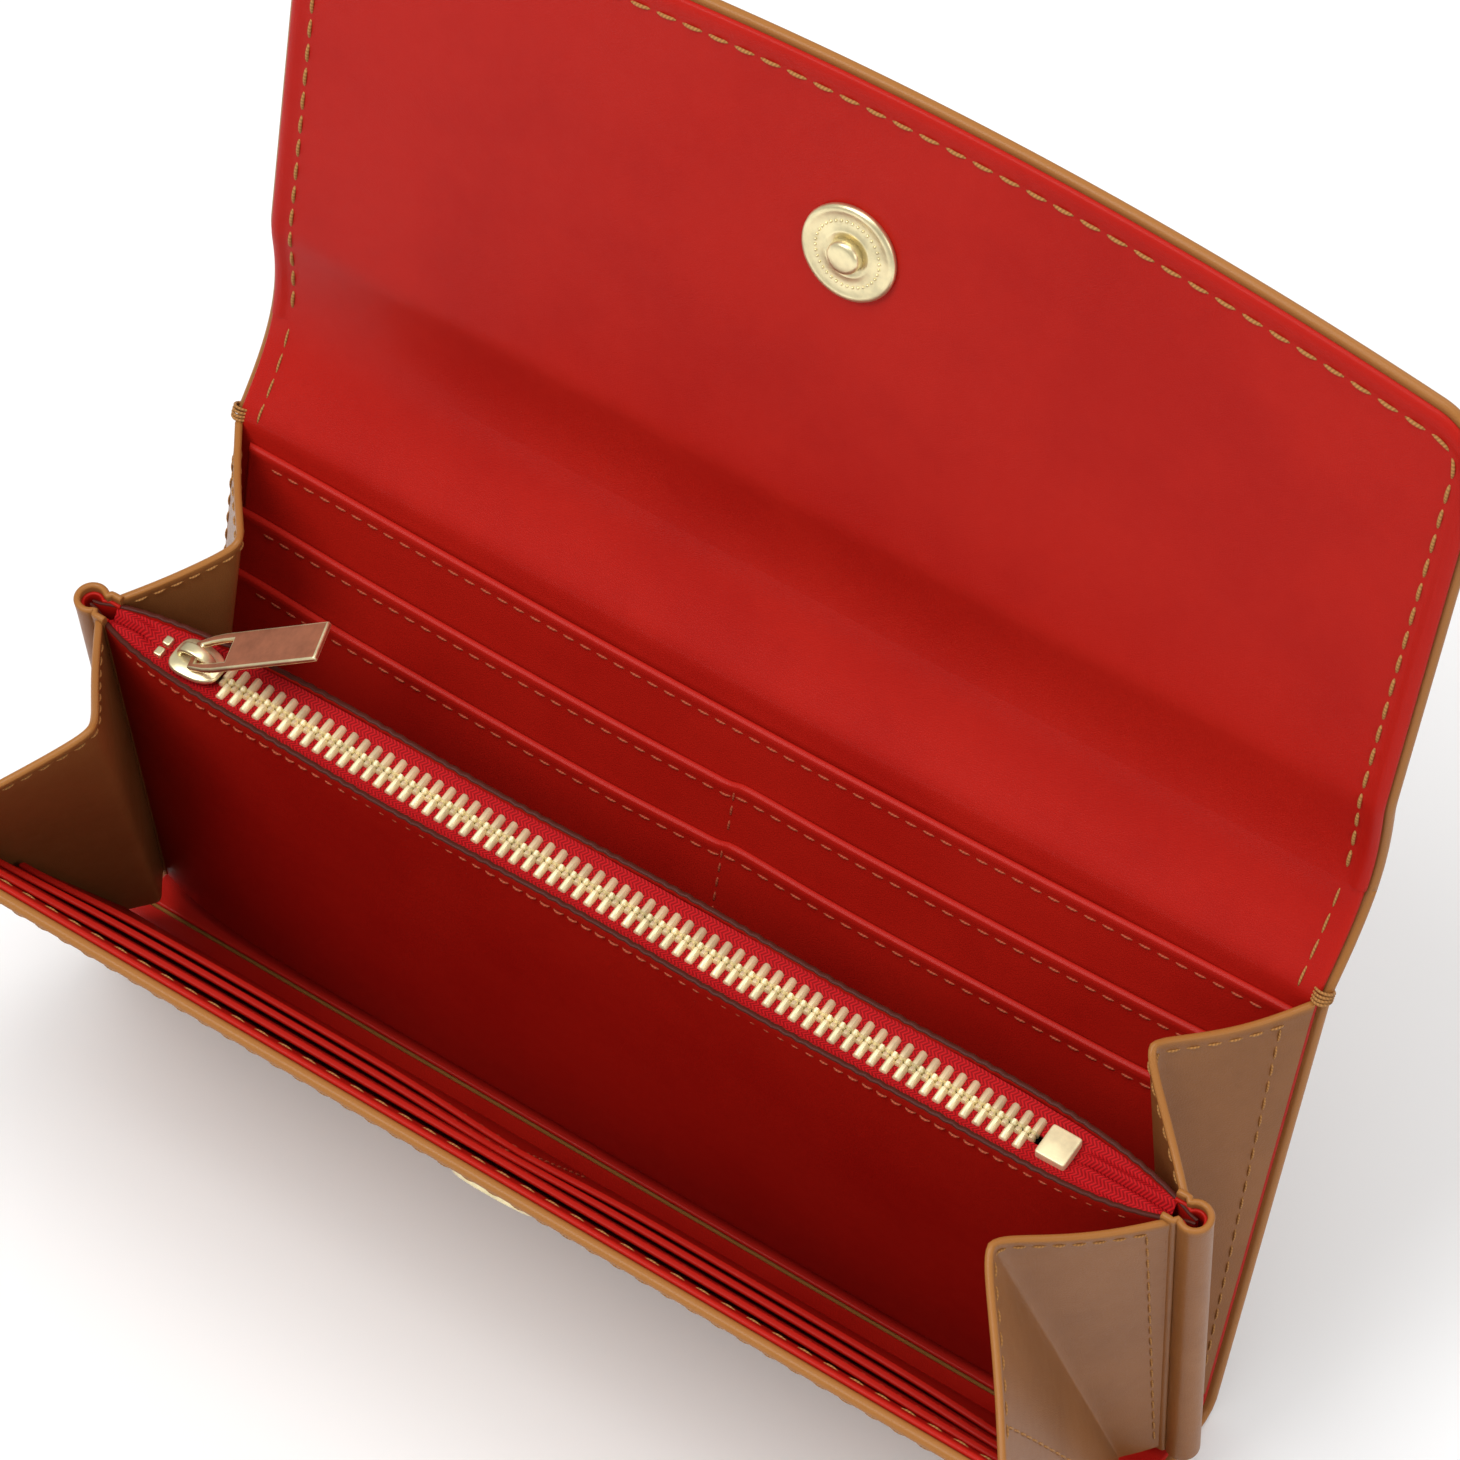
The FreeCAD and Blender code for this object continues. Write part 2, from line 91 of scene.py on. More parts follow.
# Thicknesses and sizes shared with the frame
LINING = 0.8 * MM
WALL = 2.6 * MM
POCKET_SHEET = 0.7 * MM
ZIP_WALL = 0.9 * MM
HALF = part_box("base_and_back_leather")[1][0]
BACK_HEIGHT = 88.0 * MM
FRONT_HEIGHT = 77.0 * MM
POCKET_HEIGHT = 71.0 * MM
BEND = 10.0 * MM
FLAP_SIDE = 65.2 * MM
FLAP_BOW = 8.3 * MM
CORNER = 9.0 * MM
BACK_SLIP_TOP = 84.0 * MM
FRONT_SLIP_TOP = 67.3 * MM
TIER_STEP = 11.5 * MM
TIER_HALF = 91.0 * MM
PIN_UP = 72.4 * MM
SNAP_UP = 45.8 * MM
BACK_LEAN = -10.0
FRONT_LEAN = 32.5
POCKET_LEAN = 7.5
FLAP_LEAN = -10.5
TAB_LIFT = 30.0

# Lining and leather edges
LINING_FACE = -0.02 * MM
LINING_INSET = 1.2 * MM
FOLD_START = 0.1 * MM
EDGE_REACH = 1.2 * MM
SPINE_BULGE = 4.4 * MM

# Gussets: the fold's top and foot in millimetres, for the right side
GUSSET_HEIGHT = 84.0 * MM
BACK_FOLD_POINTS = ((79.0, 3.6, 88.5), (90.0, 4.0, 6.5))
FRONT_FOLD_POINTS = ((77.0, -34.5, 84.0), (89.0, -9.5, 7.5))
LOOP_X = 95.6 * MM
NECK_X = 92.7 * MM

# Small shapes that are repeated: rings along each and points round each ring
STITCH_RINGS = 6
STITCH_SIDES = 6
TOOTH_SIDES = 8


def joint_point(name):
    """(y, z) of a joint's axis."""
    return np.array(JOINTS[name]["pos_m"][1:])


def up_of(lean):
    """Unit (y, z) direction up a wall that leans this many degrees to the front."""
    return np.array([-math.sin(math.radians(lean)), math.cos(math.radians(lean))])


def out_of(lean):
    """Unit (y, z) direction square to such a wall, towards the back."""
    return np.array([math.cos(math.radians(lean)), math.sin(math.radians(lean))])


class Wall:
    """A plane that leans about X. A point is foot + back * out + up * up, with x kept."""

    def __init__(self, foot, lean):
        self.foot = np.asarray(foot)
        self.up = up_of(lean)
        self.back = out_of(lean)

    def at(self, x, back, up):
        """Points in the shared frame from x, distance to the back and distance up the wall."""
        x, back, up = np.broadcast_arrays(np.asarray(x, float), back, up)
        y = self.foot[0] + back * self.back[0] + up * self.up[0]
        z = self.foot[1] + back * self.back[1] + up * self.up[1]
        return np.stack([x, y, z], axis=-1)

    def direction(self, x, back, up):
        """A direction given on the wall's own axes, in the shared frame."""
        return self.at(x, back, up) - self.at(0.0, 0.0, 0.0)


FOLD = joint_point("pocket_fold") + np.array([0.0, WALL / 2])
BACK_TOP = joint_point("spine_fold") - out_of(BACK_LEAN) * WALL / 2
BACK = Wall(BACK_TOP - up_of(BACK_LEAN) * BACK_HEIGHT, BACK_LEAN)
FLAP = Wall(joint_point("flap_fold") - out_of(FLAP_LEAN) * WALL / 2, FLAP_LEAN)
BEND_CENTRE = FOLD + np.array([0.0, BEND])
FRONT = Wall(BEND_CENTRE - out_of(FRONT_LEAN) * BEND, FRONT_LEAN)
POCKET = Wall(joint_point("tab_swing") - up_of(POCKET_LEAN) * PIN_UP, POCKET_LEAN)
PIN_X = JOINTS["tab_swing"]["pos_m"][0]


class Profile:
    """Side profile of the inner face. The corners of a line of points are rounded by a moving average over a
    given length, and the outward normal is the tangent turned a quarter to one side."""

    STEP = 0.25 * MM

    def __init__(self, points, side, soften):
        points = np.asarray(points)
        lengths = np.r_[0.0, np.cumsum(np.hypot(*np.diff(points, axis=0).T))]
        count = int(lengths[-1] / self.STEP)
        s = np.linspace(0.0, lengths[-1], count)
        line = np.stack([np.interp(s, lengths, points[:, i]) for i in (0, 1)], axis=1)
        width = max(3, int(soften / self.STEP) | 1)
        pad = width // 2
        window = np.hanning(width + 2)[1:-1]
        window = window / window.sum()
        soft = []
        for column in line.T:
            before = 2 * column[0] - column[pad:0:-1]
            after = 2 * column[-1] - column[-2:-pad - 2:-1]
            soft.append(np.convolve(np.r_[before, column, after], window, mode="valid"))
        self.line = np.stack(soft, axis=1)
        self.s = s
        tangent = np.gradient(self.line, s, axis=0)
        tangent /= np.linalg.norm(tangent, axis=1, keepdims=True)
        self.normal = side * np.stack([tangent[:, 1], -tangent[:, 0]], axis=1)

    def point(self, s):
        """(y, z) at a length along the profile."""
        return np.stack([np.interp(s, self.s, self.line[:, i]) for i in (0, 1)], axis=-1)

    def out(self, s):
        """Outward unit normal (y, z) at a length along the profile."""
        return np.stack([np.interp(s, self.s, self.normal[:, i]) for i in (0, 1)], axis=-1)

    def at(self, x, s, depth):
        """Points of the sheet at x, length s and depth outwards from the inner face."""
        x, s, depth = np.broadcast_arrays(np.asarray(x, float), s, depth)
        yz = self.point(s) + self.out(s) * depth[..., None]
        return np.concatenate([x[..., None], yz], axis=-1)


def arc_points(centre, radius, start, end, count=40):
    """(y, z) points of an arc, angles in degrees."""
    a = np.radians(np.linspace(start, end, count))
    return np.stack([centre[0] + radius * np.cos(a), centre[1] + radius * np.sin(a)], axis=1)


def spine_points():
    """Points of the spine between its two creases: a chord that bulges to the back as a half sine."""
    start, end = BACK_TOP, FLAP.foot
    t = np.linspace(0.0, 1.0, 40)[:, None]
    chord = end - start
    square = np.array([chord[1], -chord[0]]) / np.linalg.norm(chord)
    return start + chord * t + square * np.sin(np.pi * t) * SPINE_BULGE


SPINE = spine_points()
BACK_LINE = np.concatenate([[FOLD], [BACK.foot], [BACK_TOP], SPINE[1:],
                            [FLAP.foot + FLAP.up * (FLAP_SIDE + FLAP_BOW)]])
BACK_PATH = Profile(BACK_LINE, 1.0, 5.0 * MM)
FRONT_LINE = np.concatenate([arc_points(BEND_CENTRE, BEND, -90.0, -180.0 + FRONT_LEAN),
                             [FRONT.foot + FRONT.up * FRONT_HEIGHT]])
FRONT_PATH = Profile(FRONT_LINE, -1.0, 2.0 * MM)


def path_length(points):
    """Length of a line of (y, z) points."""
    return float(np.hypot(*np.diff(np.asarray(points), axis=0).T).sum())


S_CORNER = path_length([FOLD, BACK.foot])
S_BACK_TOP = S_CORNER + BACK_HEIGHT
S_SPINE_END = S_BACK_TOP + path_length(SPINE)
S_SPINE_MID = (S_BACK_TOP + S_SPINE_END) / 2
S_TIP = S_SPINE_END + FLAP_SIDE + FLAP_BOW
S_FRONT_FOOT = path_length(FRONT_LINE[:-1])
S_RIM = S_FRONT_FOOT + FRONT_HEIGHT


# ---------------------------------------------------------------- settings


class WalletSizes(bpy.types.PropertyGroup):
    """Sizes of the finishing work."""

    stitch: FloatProperty(name="Stitch", description="Length of a thread between its holes", default=3.3 * MM,
                          unit="LENGTH")
    gap: FloatProperty(name="Stitch gap", description="Leather between two stitches", default=0.9 * MM,
                       unit="LENGTH")
    thread: FloatProperty(name="Thread", description="Radius of the heavy thread", default=0.30 * MM,
                          unit="LENGTH")
    fine_thread: FloatProperty(name="Fine thread", description="Radius of the fine thread", default=0.20 * MM,
                               unit="LENGTH")
    inset: FloatProperty(name="Seam inset", description="Distance of a seam from the edge", default=4.6 * MM,
                         unit="LENGTH")
    bead: FloatProperty(name="Turned edge", description="Extra thickness of a turned edge", default=0.5 * MM,
                        unit="LENGTH")
    tooth_pitch: FloatProperty(name="Tooth pitch", description="Distance between teeth of one row",
                               default=2.2 * MM, unit="LENGTH")
    snap_beads: IntProperty(name="Snap beads", description="Beads round the snap's disc", default=36)


class WalletColours(bpy.types.PropertyGroup):
    """Colours of the materials, in linear light."""

    tan: FloatVectorProperty(name="Tan", description="Outer leather", size=3, subtype="COLOR",
                             default=(0.30, 0.118, 0.034))
    tan_deep: FloatVectorProperty(name="Deep tan", description="Darker clouds in the outer leather", size=3,
                                  subtype="COLOR", default=(0.15, 0.052, 0.013))
    # Painted highlight: the tan is painted lighter along the rounded edges of the outer leather, as where they
    # catch the light.
    tan_edge: FloatVectorProperty(name="Tan edge highlight", description="Painted highlight along the edges of the outer leather", size=3,
                                  subtype="COLOR", default=(0.36, 0.145, 0.035))
    red: FloatVectorProperty(name="Red", description="Lining leather", size=3, subtype="COLOR",
                             default=(0.44, 0.012, 0.006))
    red_deep: FloatVectorProperty(name="Deep red", description="Darker clouds in the lining", size=3,
                                  subtype="COLOR", default=(0.30, 0.003, 0.002))
    edge_paint: FloatVectorProperty(name="Edge paint", description="Painted raw edges of the zip pocket",
                                    size=3, subtype="COLOR", default=(0.075, 0.014, 0.008))
    tape: FloatVectorProperty(name="Tape", description="Zip tape", size=3, subtype="COLOR",
                              default=(0.52, 0.009, 0.012))
    gold: FloatVectorProperty(name="Gold", description="Plated metal", size=3, subtype="COLOR",
                              default=(0.92, 0.80, 0.48))
    copper: FloatVectorProperty(name="Copper", description="Face of the pull tab", size=3, subtype="COLOR",
                                default=(0.58, 0.21, 0.11))
    thread_tan: FloatVectorProperty(name="Tan thread", description="Thread of the outer seams", size=3,
                                    subtype="COLOR", default=(0.52, 0.24, 0.07))
    thread_red: FloatVectorProperty(name="Red thread", description="Thread of the pockets", size=3,
                                    subtype="COLOR", default=(0.52, 0.10, 0.045))
    thread_brown: FloatVectorProperty(name="Brown thread", description="Thread of the gussets", size=3,
                                      subtype="COLOR", default=(0.22, 0.085, 0.03))


def sizes():
    """The scene's size settings."""
    return bpy.context.scene.wallet_sizes


def colours():
    """The scene's colour settings."""
    return bpy.context.scene.wallet_colours


# ---------------------------------------------------------------- shader maths


class Value:
    """A shader socket that takes part in Python arithmetic. Each operation adds one Math node."""

    def __init__(self, paint, socket):
        self.paint = paint
        self.socket = socket

    def math(self, operation, *others):
        """One Math node with this socket first."""
        node = self.paint.node("ShaderNodeMath", {"operation": operation}, {})
        for index, item in enumerate((self,) + others):
            self.paint.feed(node.inputs[index], item)
        return Value(self.paint, node.outputs[0])

    def __add__(self, other):
        return self.math("ADD", other)

    def __sub__(self, other):
        return self.math("SUBTRACT", other)

    def __rsub__(self, other):
        return (self * -1.0) + other

    def __mul__(self, other):
        return self.math("MULTIPLY", other)

    def __truediv__(self, other):
        return self.math("DIVIDE", other)

    __radd__ = __add__
    __rmul__ = __mul__

    def sin(self):
        """Sine of the value in radians."""
        return self.math("SINE")

    def wrap(self):
        """Fractional part."""
        return self.math("FRACT")

    def over(self, level):
        """1 where the value is above a level."""
        return self.math("GREATER_THAN", level)

    def step(self, low, high):
        """0 below low, 1 above high, smooth between."""
        node = self.paint.node("ShaderNodeMapRange", {"interpolation_type": "SMOOTHSTEP"},
                               {"Value": self, "From Min": low, "From Max": high})
        return Value(self.paint, node.outputs["Result"])


class Paint:
    """A material whose nodes are added one by one."""

    def __init__(self, name, roughness=0.4, metallic=0.0):
        self.material = bpy.data.materials.new(name)
        self.material.use_nodes = True
        self.tree = self.material.node_tree
        self.shader = self.tree.nodes["Principled BSDF"]
        self.set("Roughness", roughness)
        self.set("Metallic", metallic)

    def feed(self, socket, item):
        """Link or set one input socket."""
        if isinstance(item, Value):
            self.tree.links.new(item.socket, socket)
        elif isinstance(item, bpy.types.NodeSocket):
            self.tree.links.new(item, socket)
        elif isinstance(item, (tuple, list)) and len(item) == 3 and socket.type == "RGBA":
            socket.default_value = (*item, 1.0)
        else:
            socket.default_value = item

    def node(self, kind, settings, values):
        """Any node: its settings first, then the values or links of its inputs."""
        node = self.tree.nodes.new(kind)
        for key, item in settings.items():
            setattr(node, key, item)
        for key, item in values.items():
            self.feed(node.inputs[key], item)
        return node

    def set(self, name, item):
        """Set or link an input of the main shader."""
        self.feed(self.shader.inputs[name], item)

    def place(self):
        """Object coordinates."""
        return self.node("ShaderNodeTexCoord", {}, {}).outputs["Object"]

    def attribute(self, name):
        """A number stored on the mesh."""
        return Value(self, self.node("ShaderNodeAttribute", {"attribute_name": name}, {}).outputs["Fac"])

    def uv(self):
        """The piece's own two surface lengths, as two values."""
        node = self.node("ShaderNodeUVMap", {"uv_map": "UVMap"}, {})
        parts = self.node("ShaderNodeSeparateXYZ", {}, {"Vector": node.outputs["UV"]})
        return Value(self, parts.outputs["X"]), Value(self, parts.outputs["Y"])

    def noise(self, scale, detail=3.0, rough=0.5, where=None):
        """Noise at a scale per metre."""
        node = self.node("ShaderNodeTexNoise", {}, {"Vector": where or self.place(), "Scale": scale,
                                                    "Detail": detail, "Roughness": rough})
        return Value(self, node.outputs["Fac"])

    def cells(self, scale):
        """Distance to the edges of Voronoi cells at a scale per metre."""
        node = self.node("ShaderNodeTexVoronoi", {"feature": "DISTANCE_TO_EDGE"},
                         {"Vector": self.place(), "Scale": scale})
        return Value(self, node.outputs["Distance"])

    def stretched(self, factors):
        """Object coordinates stretched along the axes."""
        node = self.node("ShaderNodeMapping", {}, {"Vector": self.place(), "Scale": factors})
        return node.outputs["Vector"]

    def mix(self, factor, first, second):
        """Colour between two colours."""
        node = self.node("ShaderNodeMix", {"data_type": "RGBA"}, {})
        self.feed(node.inputs["Factor"], factor)
        self.feed(node.inputs[6], first)
        self.feed(node.inputs[7], second)
        return node.outputs[2]

    def bump(self, height, distance, strength=1.0):
        """Relief from a height between 0 and 1."""
        node = self.node("ShaderNodeBump", {}, {"Height": height, "Distance": distance, "Strength": strength})
        self.set("Normal", node.outputs["Normal"])


def leather_paint(name, base, deep, edge, edge_reach, grain, gloss, coat):
    """Glazed leather: soft clouds of a deeper shade, fine pores and creases, and a colour of its own near the
    edges: a painted highlight on the tan leather, dark edge paint on the zip pocket's raw edges.
    """
    paint = Paint(name, gloss)
    clouds = paint.noise(38.0, 4.0, 0.55).step(0.35, 0.72)
    mottle = paint.noise(420.0, 3.0, 0.6)
    # Towards the sheet edges the colour turns to the edge colour: on the tan leather a painted highlight, on
    # the raw edges real edge paint.
    rim = paint.attribute("edge").step(*edge_reach)
    body = paint.mix(clouds * 0.30 + mottle * 0.25, base, deep)
    paint.set("Base Color", paint.mix(rim, body, edge))
    pores = paint.cells(grain)
    pore_mask = pores.step(0.0, 0.16)
    creases = paint.noise(160.0, 5.0, 0.62, paint.stretched((0.6, 1.0, 1.0)))
    scuffs = paint.noise(24.0, 5.0, 0.7).step(0.45, 0.75)
    paint.set("Roughness", gloss + mottle * 0.10 + scuffs * 0.10 - 0.06)
    paint.set("Coat Weight", coat)
    paint.set("Coat Roughness", 0.22)
    paint.set("Specular IOR Level", 0.08)
    paint.bump(pore_mask * 0.30 + creases * 0.55 + mottle * 0.15, 0.12 * MM, 0.55)
    return paint.material


def tape_paint(name, colour):
    """Woven zip tape: slanted ribs that change direction from band to band, like a herringbone."""
    paint = Paint(name, 0.72)
    along, across = paint.uv()
    band = (across / (1.25 * MM)).wrap().over(0.5)
    slant = across * (band * 2.0 - 1.0)
    ribs = ((along + slant) * (2 * math.pi / (0.62 * MM))).sin() * 0.5 + 0.5
    fuzz = paint.noise(2600.0, 2.0, 0.6)
    shade = (ribs * 0.6 + fuzz * 0.4).step(0.15, 0.85)
    deep = tuple(0.45 * c for c in colour)
    paint.set("Base Color", paint.mix(shade, deep, colour))
    paint.set("Roughness", 0.62 + fuzz * 0.2)
    paint.set("Specular IOR Level", 0.1)
    paint.bump(ribs * 0.7 + fuzz * 0.3, 0.10 * MM, 0.8)
    return paint.material


def metal_paint(name, colour, roughness, scratch, metallic=1.0):
    """Plated metal with faint clouds in its polish and fine scratches."""
    paint = Paint(name, roughness, metallic)
    haze = paint.noise(260.0, 4.0, 0.6)
    fine = paint.noise(900.0, 3.0, 0.7, paint.stretched((0.12, 1.0, 1.0)))
    deep = tuple(0.72 * c for c in colour)
    paint.set("Base Color", paint.mix(haze.step(0.35, 0.75), colour, deep))
    paint.set("Roughness", roughness + haze * 0.12 + fine * scratch)
    paint.bump(fine * 0.5 + haze * 0.5, 0.02 * MM, 0.5)
    return paint.material


def thread_paint(name, colour):
    """Waxed thread: a twist of dark grooves that runs slantwise round each stitch."""
    paint = Paint(name, 0.5)
    along, across = paint.uv()
    twist = ((along / (0.55 * MM) + across) * (2 * math.pi)).sin() * 0.5 + 0.5
    fuzz = paint.noise(3200.0, 2.0, 0.6)
    deep = tuple(0.5 * c for c in colour)
    paint.set("Base Color", paint.mix(twist * 0.75 + fuzz * 0.25, deep, colour))
    paint.set("Roughness", 0.42 + fuzz * 0.25)
    paint.set("Specular IOR Level", 0.15)
    paint.bump(twist, 0.05 * MM, 0.7)
    return paint.material


def board_paint(name, colour):
    """Fibre board."""
    paint = Paint(name, 0.85)
    fibre = paint.noise(900.0, 4.0, 0.7, paint.stretched((0.3, 1.0, 1.0)))
    paint.set("Base Color", paint.mix(fibre, tuple(0.6 * c for c in colour), colour))
    paint.bump(fibre, 0.05 * MM, 0.6)
    return paint.material


def floor_paint(name):
    """Pale matt floor."""
    paint = Paint(name, 0.6)
    paint.set("Base Color", paint.mix(paint.noise(6.0, 2.0, 0.5), (0.93, 0.93, 0.93), (0.95, 0.95, 0.95)))
    return paint.material


PAINTS = {}


def make_paints():
    """All materials, once."""
    c = {name: tuple(getattr(colours(), name)) for name in WalletColours.__annotations__}
    # The tan leather's edge colour is a painted highlight, lighter than the body along every edge.
    PAINTS["tan"] = leather_paint("tan_glazed_leather", c["tan"], c["tan_deep"], c["tan_edge"], (0.25, 0.9),
                                  2100.0, 0.38, 0.20)
    PAINTS["red"] = leather_paint("red_lining_leather", c["red"], c["red_deep"], c["red"], (0.4, 1.0),
                                  2600.0, 0.46, 0.08)
    PAINTS["raw"] = leather_paint("red_leather_painted_edge", c["red"], c["red_deep"], c["edge_paint"],
                                  (0.45, 0.6), 2600.0, 0.46, 0.08)
    PAINTS["tape"] = tape_paint("herringbone_zip_tape", c["tape"])
    PAINTS["gold"] = metal_paint("pale_gold_plate", c["gold"], 0.22, 0.10, 0.85)
    PAINTS["teeth"] = metal_paint("pale_gold_teeth", c["gold"], 0.34, 0.08, 0.40)
    PAINTS["tab"] = metal_paint("rose_gold_plate", c["copper"], 0.28, 0.12, 0.8)
    PAINTS["steel"] = metal_paint("magnet_steel", (0.45, 0.45, 0.46), 0.4, 0.2)
    PAINTS["thread_tan"] = thread_paint("tan_thread", c["thread_tan"])
    PAINTS["thread_red"] = thread_paint("dark_red_thread", c["thread_red"])
    PAINTS["thread_brown"] = thread_paint("brown_thread", c["thread_brown"])
    PAINTS["board"] = board_paint("stiffener_board", (0.50, 0.42, 0.28))


# ---------------------------------------------------------------- meshes


def new_object(name, points, faces, paint, edge=None, uv=None):
    """Smooth mesh object from a point array and lists of faces, with its edge value and uv per point."""
    mesh = bpy.data.meshes.new(name)
    mesh.from_pydata(points.reshape(-1, 3), [], faces)
    mesh.update()
    mesh.shade_smooth()
    mesh.materials.append(PAINTS[paint])
    attribute = mesh.attributes.new("edge", "FLOAT", "POINT")
    values = np.zeros(len(mesh.vertices)) if edge is None else edge
    attribute.data.foreach_set("value", np.asarray(values, np.float32).ravel())
    if uv is not None:
        layer = mesh.uv_layers.new(name="UVMap")
        corners = np.empty(len(mesh.loops), np.int32)
        mesh.loops.foreach_get("vertex_index", corners)
        layer.data.foreach_set("uv", np.asarray(uv, np.float32).reshape(-1, 2)[corners].ravel())
    obj = bpy.data.objects.new(name, mesh)
    bpy.context.collection.objects.link(obj)
    return obj


def mark_sharp(mesh, pairs):
    """Mark the edges between these pairs of points as sharp."""
    count = len(mesh.vertices)
    ends = np.empty(len(mesh.edges) * 2, np.int64)
    mesh.edges.foreach_get("vertices", ends)
    ends = np.sort(ends.reshape(-1, 2), axis=1)
    wanted = np.sort(np.asarray(pairs), axis=1)
    found = np.isin(ends[:, 0] * count + ends[:, 1], wanted[:, 0] * count + wanted[:, 1])
    attribute = mesh.attributes.get("sharp_edge") or mesh.attributes.new("sharp_edge", "BOOLEAN", "EDGE")
    attribute.data.foreach_set("value", found)


def sheet_solid(name, inner, outer, paint, edge, uv=None):
    """Closed sheet between two grids of points of the same shape: both faces and a strip round the rim.

    The faces are turned so that the outer grid's normals point away from the inner grid."""
    rows, cols = inner.shape[:2]
    count = rows * cols
    points = np.concatenate([outer.reshape(-1, 3), inner.reshape(-1, 3)])
    index = np.arange(count).reshape(rows, cols)
    quads = np.stack([index[:-1, :-1], index[1:, :-1], index[1:, 1:], index[:-1, 1:]], axis=-1).reshape(-1, 4)
    ring = np.concatenate([index[:-1, 0], index[-1, :-1], index[:0:-1, -1], index[0, :0:-1]])
    onward = np.roll(ring, -1)
    rim = np.stack([onward, ring, ring + count, onward + count], axis=-1)
    faces = np.concatenate([quads, quads[:, ::-1] + count, rim])
    du = outer[1:, :-1] - outer[:-1, :-1]
    dv = outer[:-1, 1:] - outer[:-1, :-1]
    away = (outer - inner)[:-1, :-1]
    if np.sum(np.cross(du, dv) * away) < 0:
        faces = faces[:, ::-1]
    both = np.concatenate([np.ravel(edge)] * 2)
    uvs = None if uv is None else np.concatenate([uv.reshape(-1, 2)] * 2)
    obj = new_object(name, points, faces.tolist(), paint, both, uvs)
    thick = np.linalg.norm((outer - inner).reshape(-1, 3), axis=1)
    blunt = (thick[ring] > 0.5 * thick.max()) & (thick[onward] > 0.5 * thick.max())
    pairs = np.stack([ring, onward], axis=1)[blunt]
    if len(pairs):
        mark_sharp(obj.data, np.concatenate([pairs, pairs + count]))
    return obj


def stations(length, step, radius, first=True, last=True):
    """Distances from 0 to a length: even steps, and a quarter circle of closer ones at each rounded end."""
    count = max(2, int(round((length - radius * (first + last)) / step)) + 1)
    quarter = radius * (1 - np.cos(np.linspace(0, math.pi / 2, 7)))
    body = np.linspace(radius if first else 0.0, length - (radius if last else 0.0), count)
    parts = []
    if first:
        parts.append(quarter[:-1])
    parts.append(body)
    if last:
        parts.append(length - quarter[-2::-1])
    return np.concatenate(parts)


def roundness(distance, radius):
    """Share of the full thickness at a distance from an edge: a quarter circle, never quite nothing."""
    inside = np.clip(distance / radius, 0.0, 1.0)
    return np.maximum(np.sqrt(1 - (1 - inside) ** 2), 0.06)


def layered(path, x, s, low, high, distance, radius, swell=0.0):
    """Inner and outer grids of a leather layer along a profile.

    The layer lies between two depths, drawn in to its middle at the rounded edges, and its inner face swells
    by an amount given at each point."""
    share = roundness(distance, radius)
    middle = (low + high) / 2
    half = (high - low) / 2 * share
    inner = path.at(x, s, middle - half - swell)
    outer = path.at(x, s, middle + half)
    return inner, outer


def ridge(distance, place, width):
    """Bell curve that is 1 at a place, for beads, grooves and rolls."""
    return np.exp(-((distance - place) / width) ** 2)


def edge_value(distance, reach):
    """1 at an edge, falling away over a reach."""
    return np.exp(-distance / reach)


def attach(obj, body, nodes=()):
    """Ride a body and the frame nodes that the piece stands for."""
    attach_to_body(obj, body)
    if nodes:
        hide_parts(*nodes)
    return obj


def attach_bent(obj, first, second, start, end, slot, nodes=(), weight=None):
    """Bake a piece's place into its points and hide the frame nodes that it stands for. The given weights are
    not used.
    """
    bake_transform(obj)
    if nodes:
        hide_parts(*nodes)
    return obj


def join_parts(name, parts, paint, sharp=None):
    """One object from several (points, faces, edge, uv) parts.

    A part's faces are a list of arrays, each of faces with the same number of corners. Edges over an angle in
    degrees stay sharp, where one is given."""
    points, faces, edges, uvs = [], [], [], []
    offset = 0
    for part_points, part_faces, part_edge, part_uv in parts:
        flat = part_points.reshape(-1, 3)
        points.append(flat)
        for block in part_faces:
            faces.extend((block + offset).tolist())
        edges.append(np.zeros(len(flat)) if part_edge is None else np.ravel(part_edge))
        uvs.append(np.zeros((len(flat), 2)) if part_uv is None else part_uv.reshape(-1, 2))
        offset += len(flat)
    obj = new_object(name, np.concatenate(points), faces, paint, np.concatenate(edges), np.concatenate(uvs))
    if sharp:
        obj.data.set_sharp_from_angle(angle=math.radians(sharp))
    return obj


# ---------------------------------------------------------------- threads


def repeated(count, size, quads, caps):
    """Faces of a number of equal shapes of a size in points: the sides of them all, then each kind of cap."""
    first = np.arange(count)[:, None] * size
    return [(first[:, :, None] + quads).reshape(-1, 4)] + [first + cap for cap in caps]


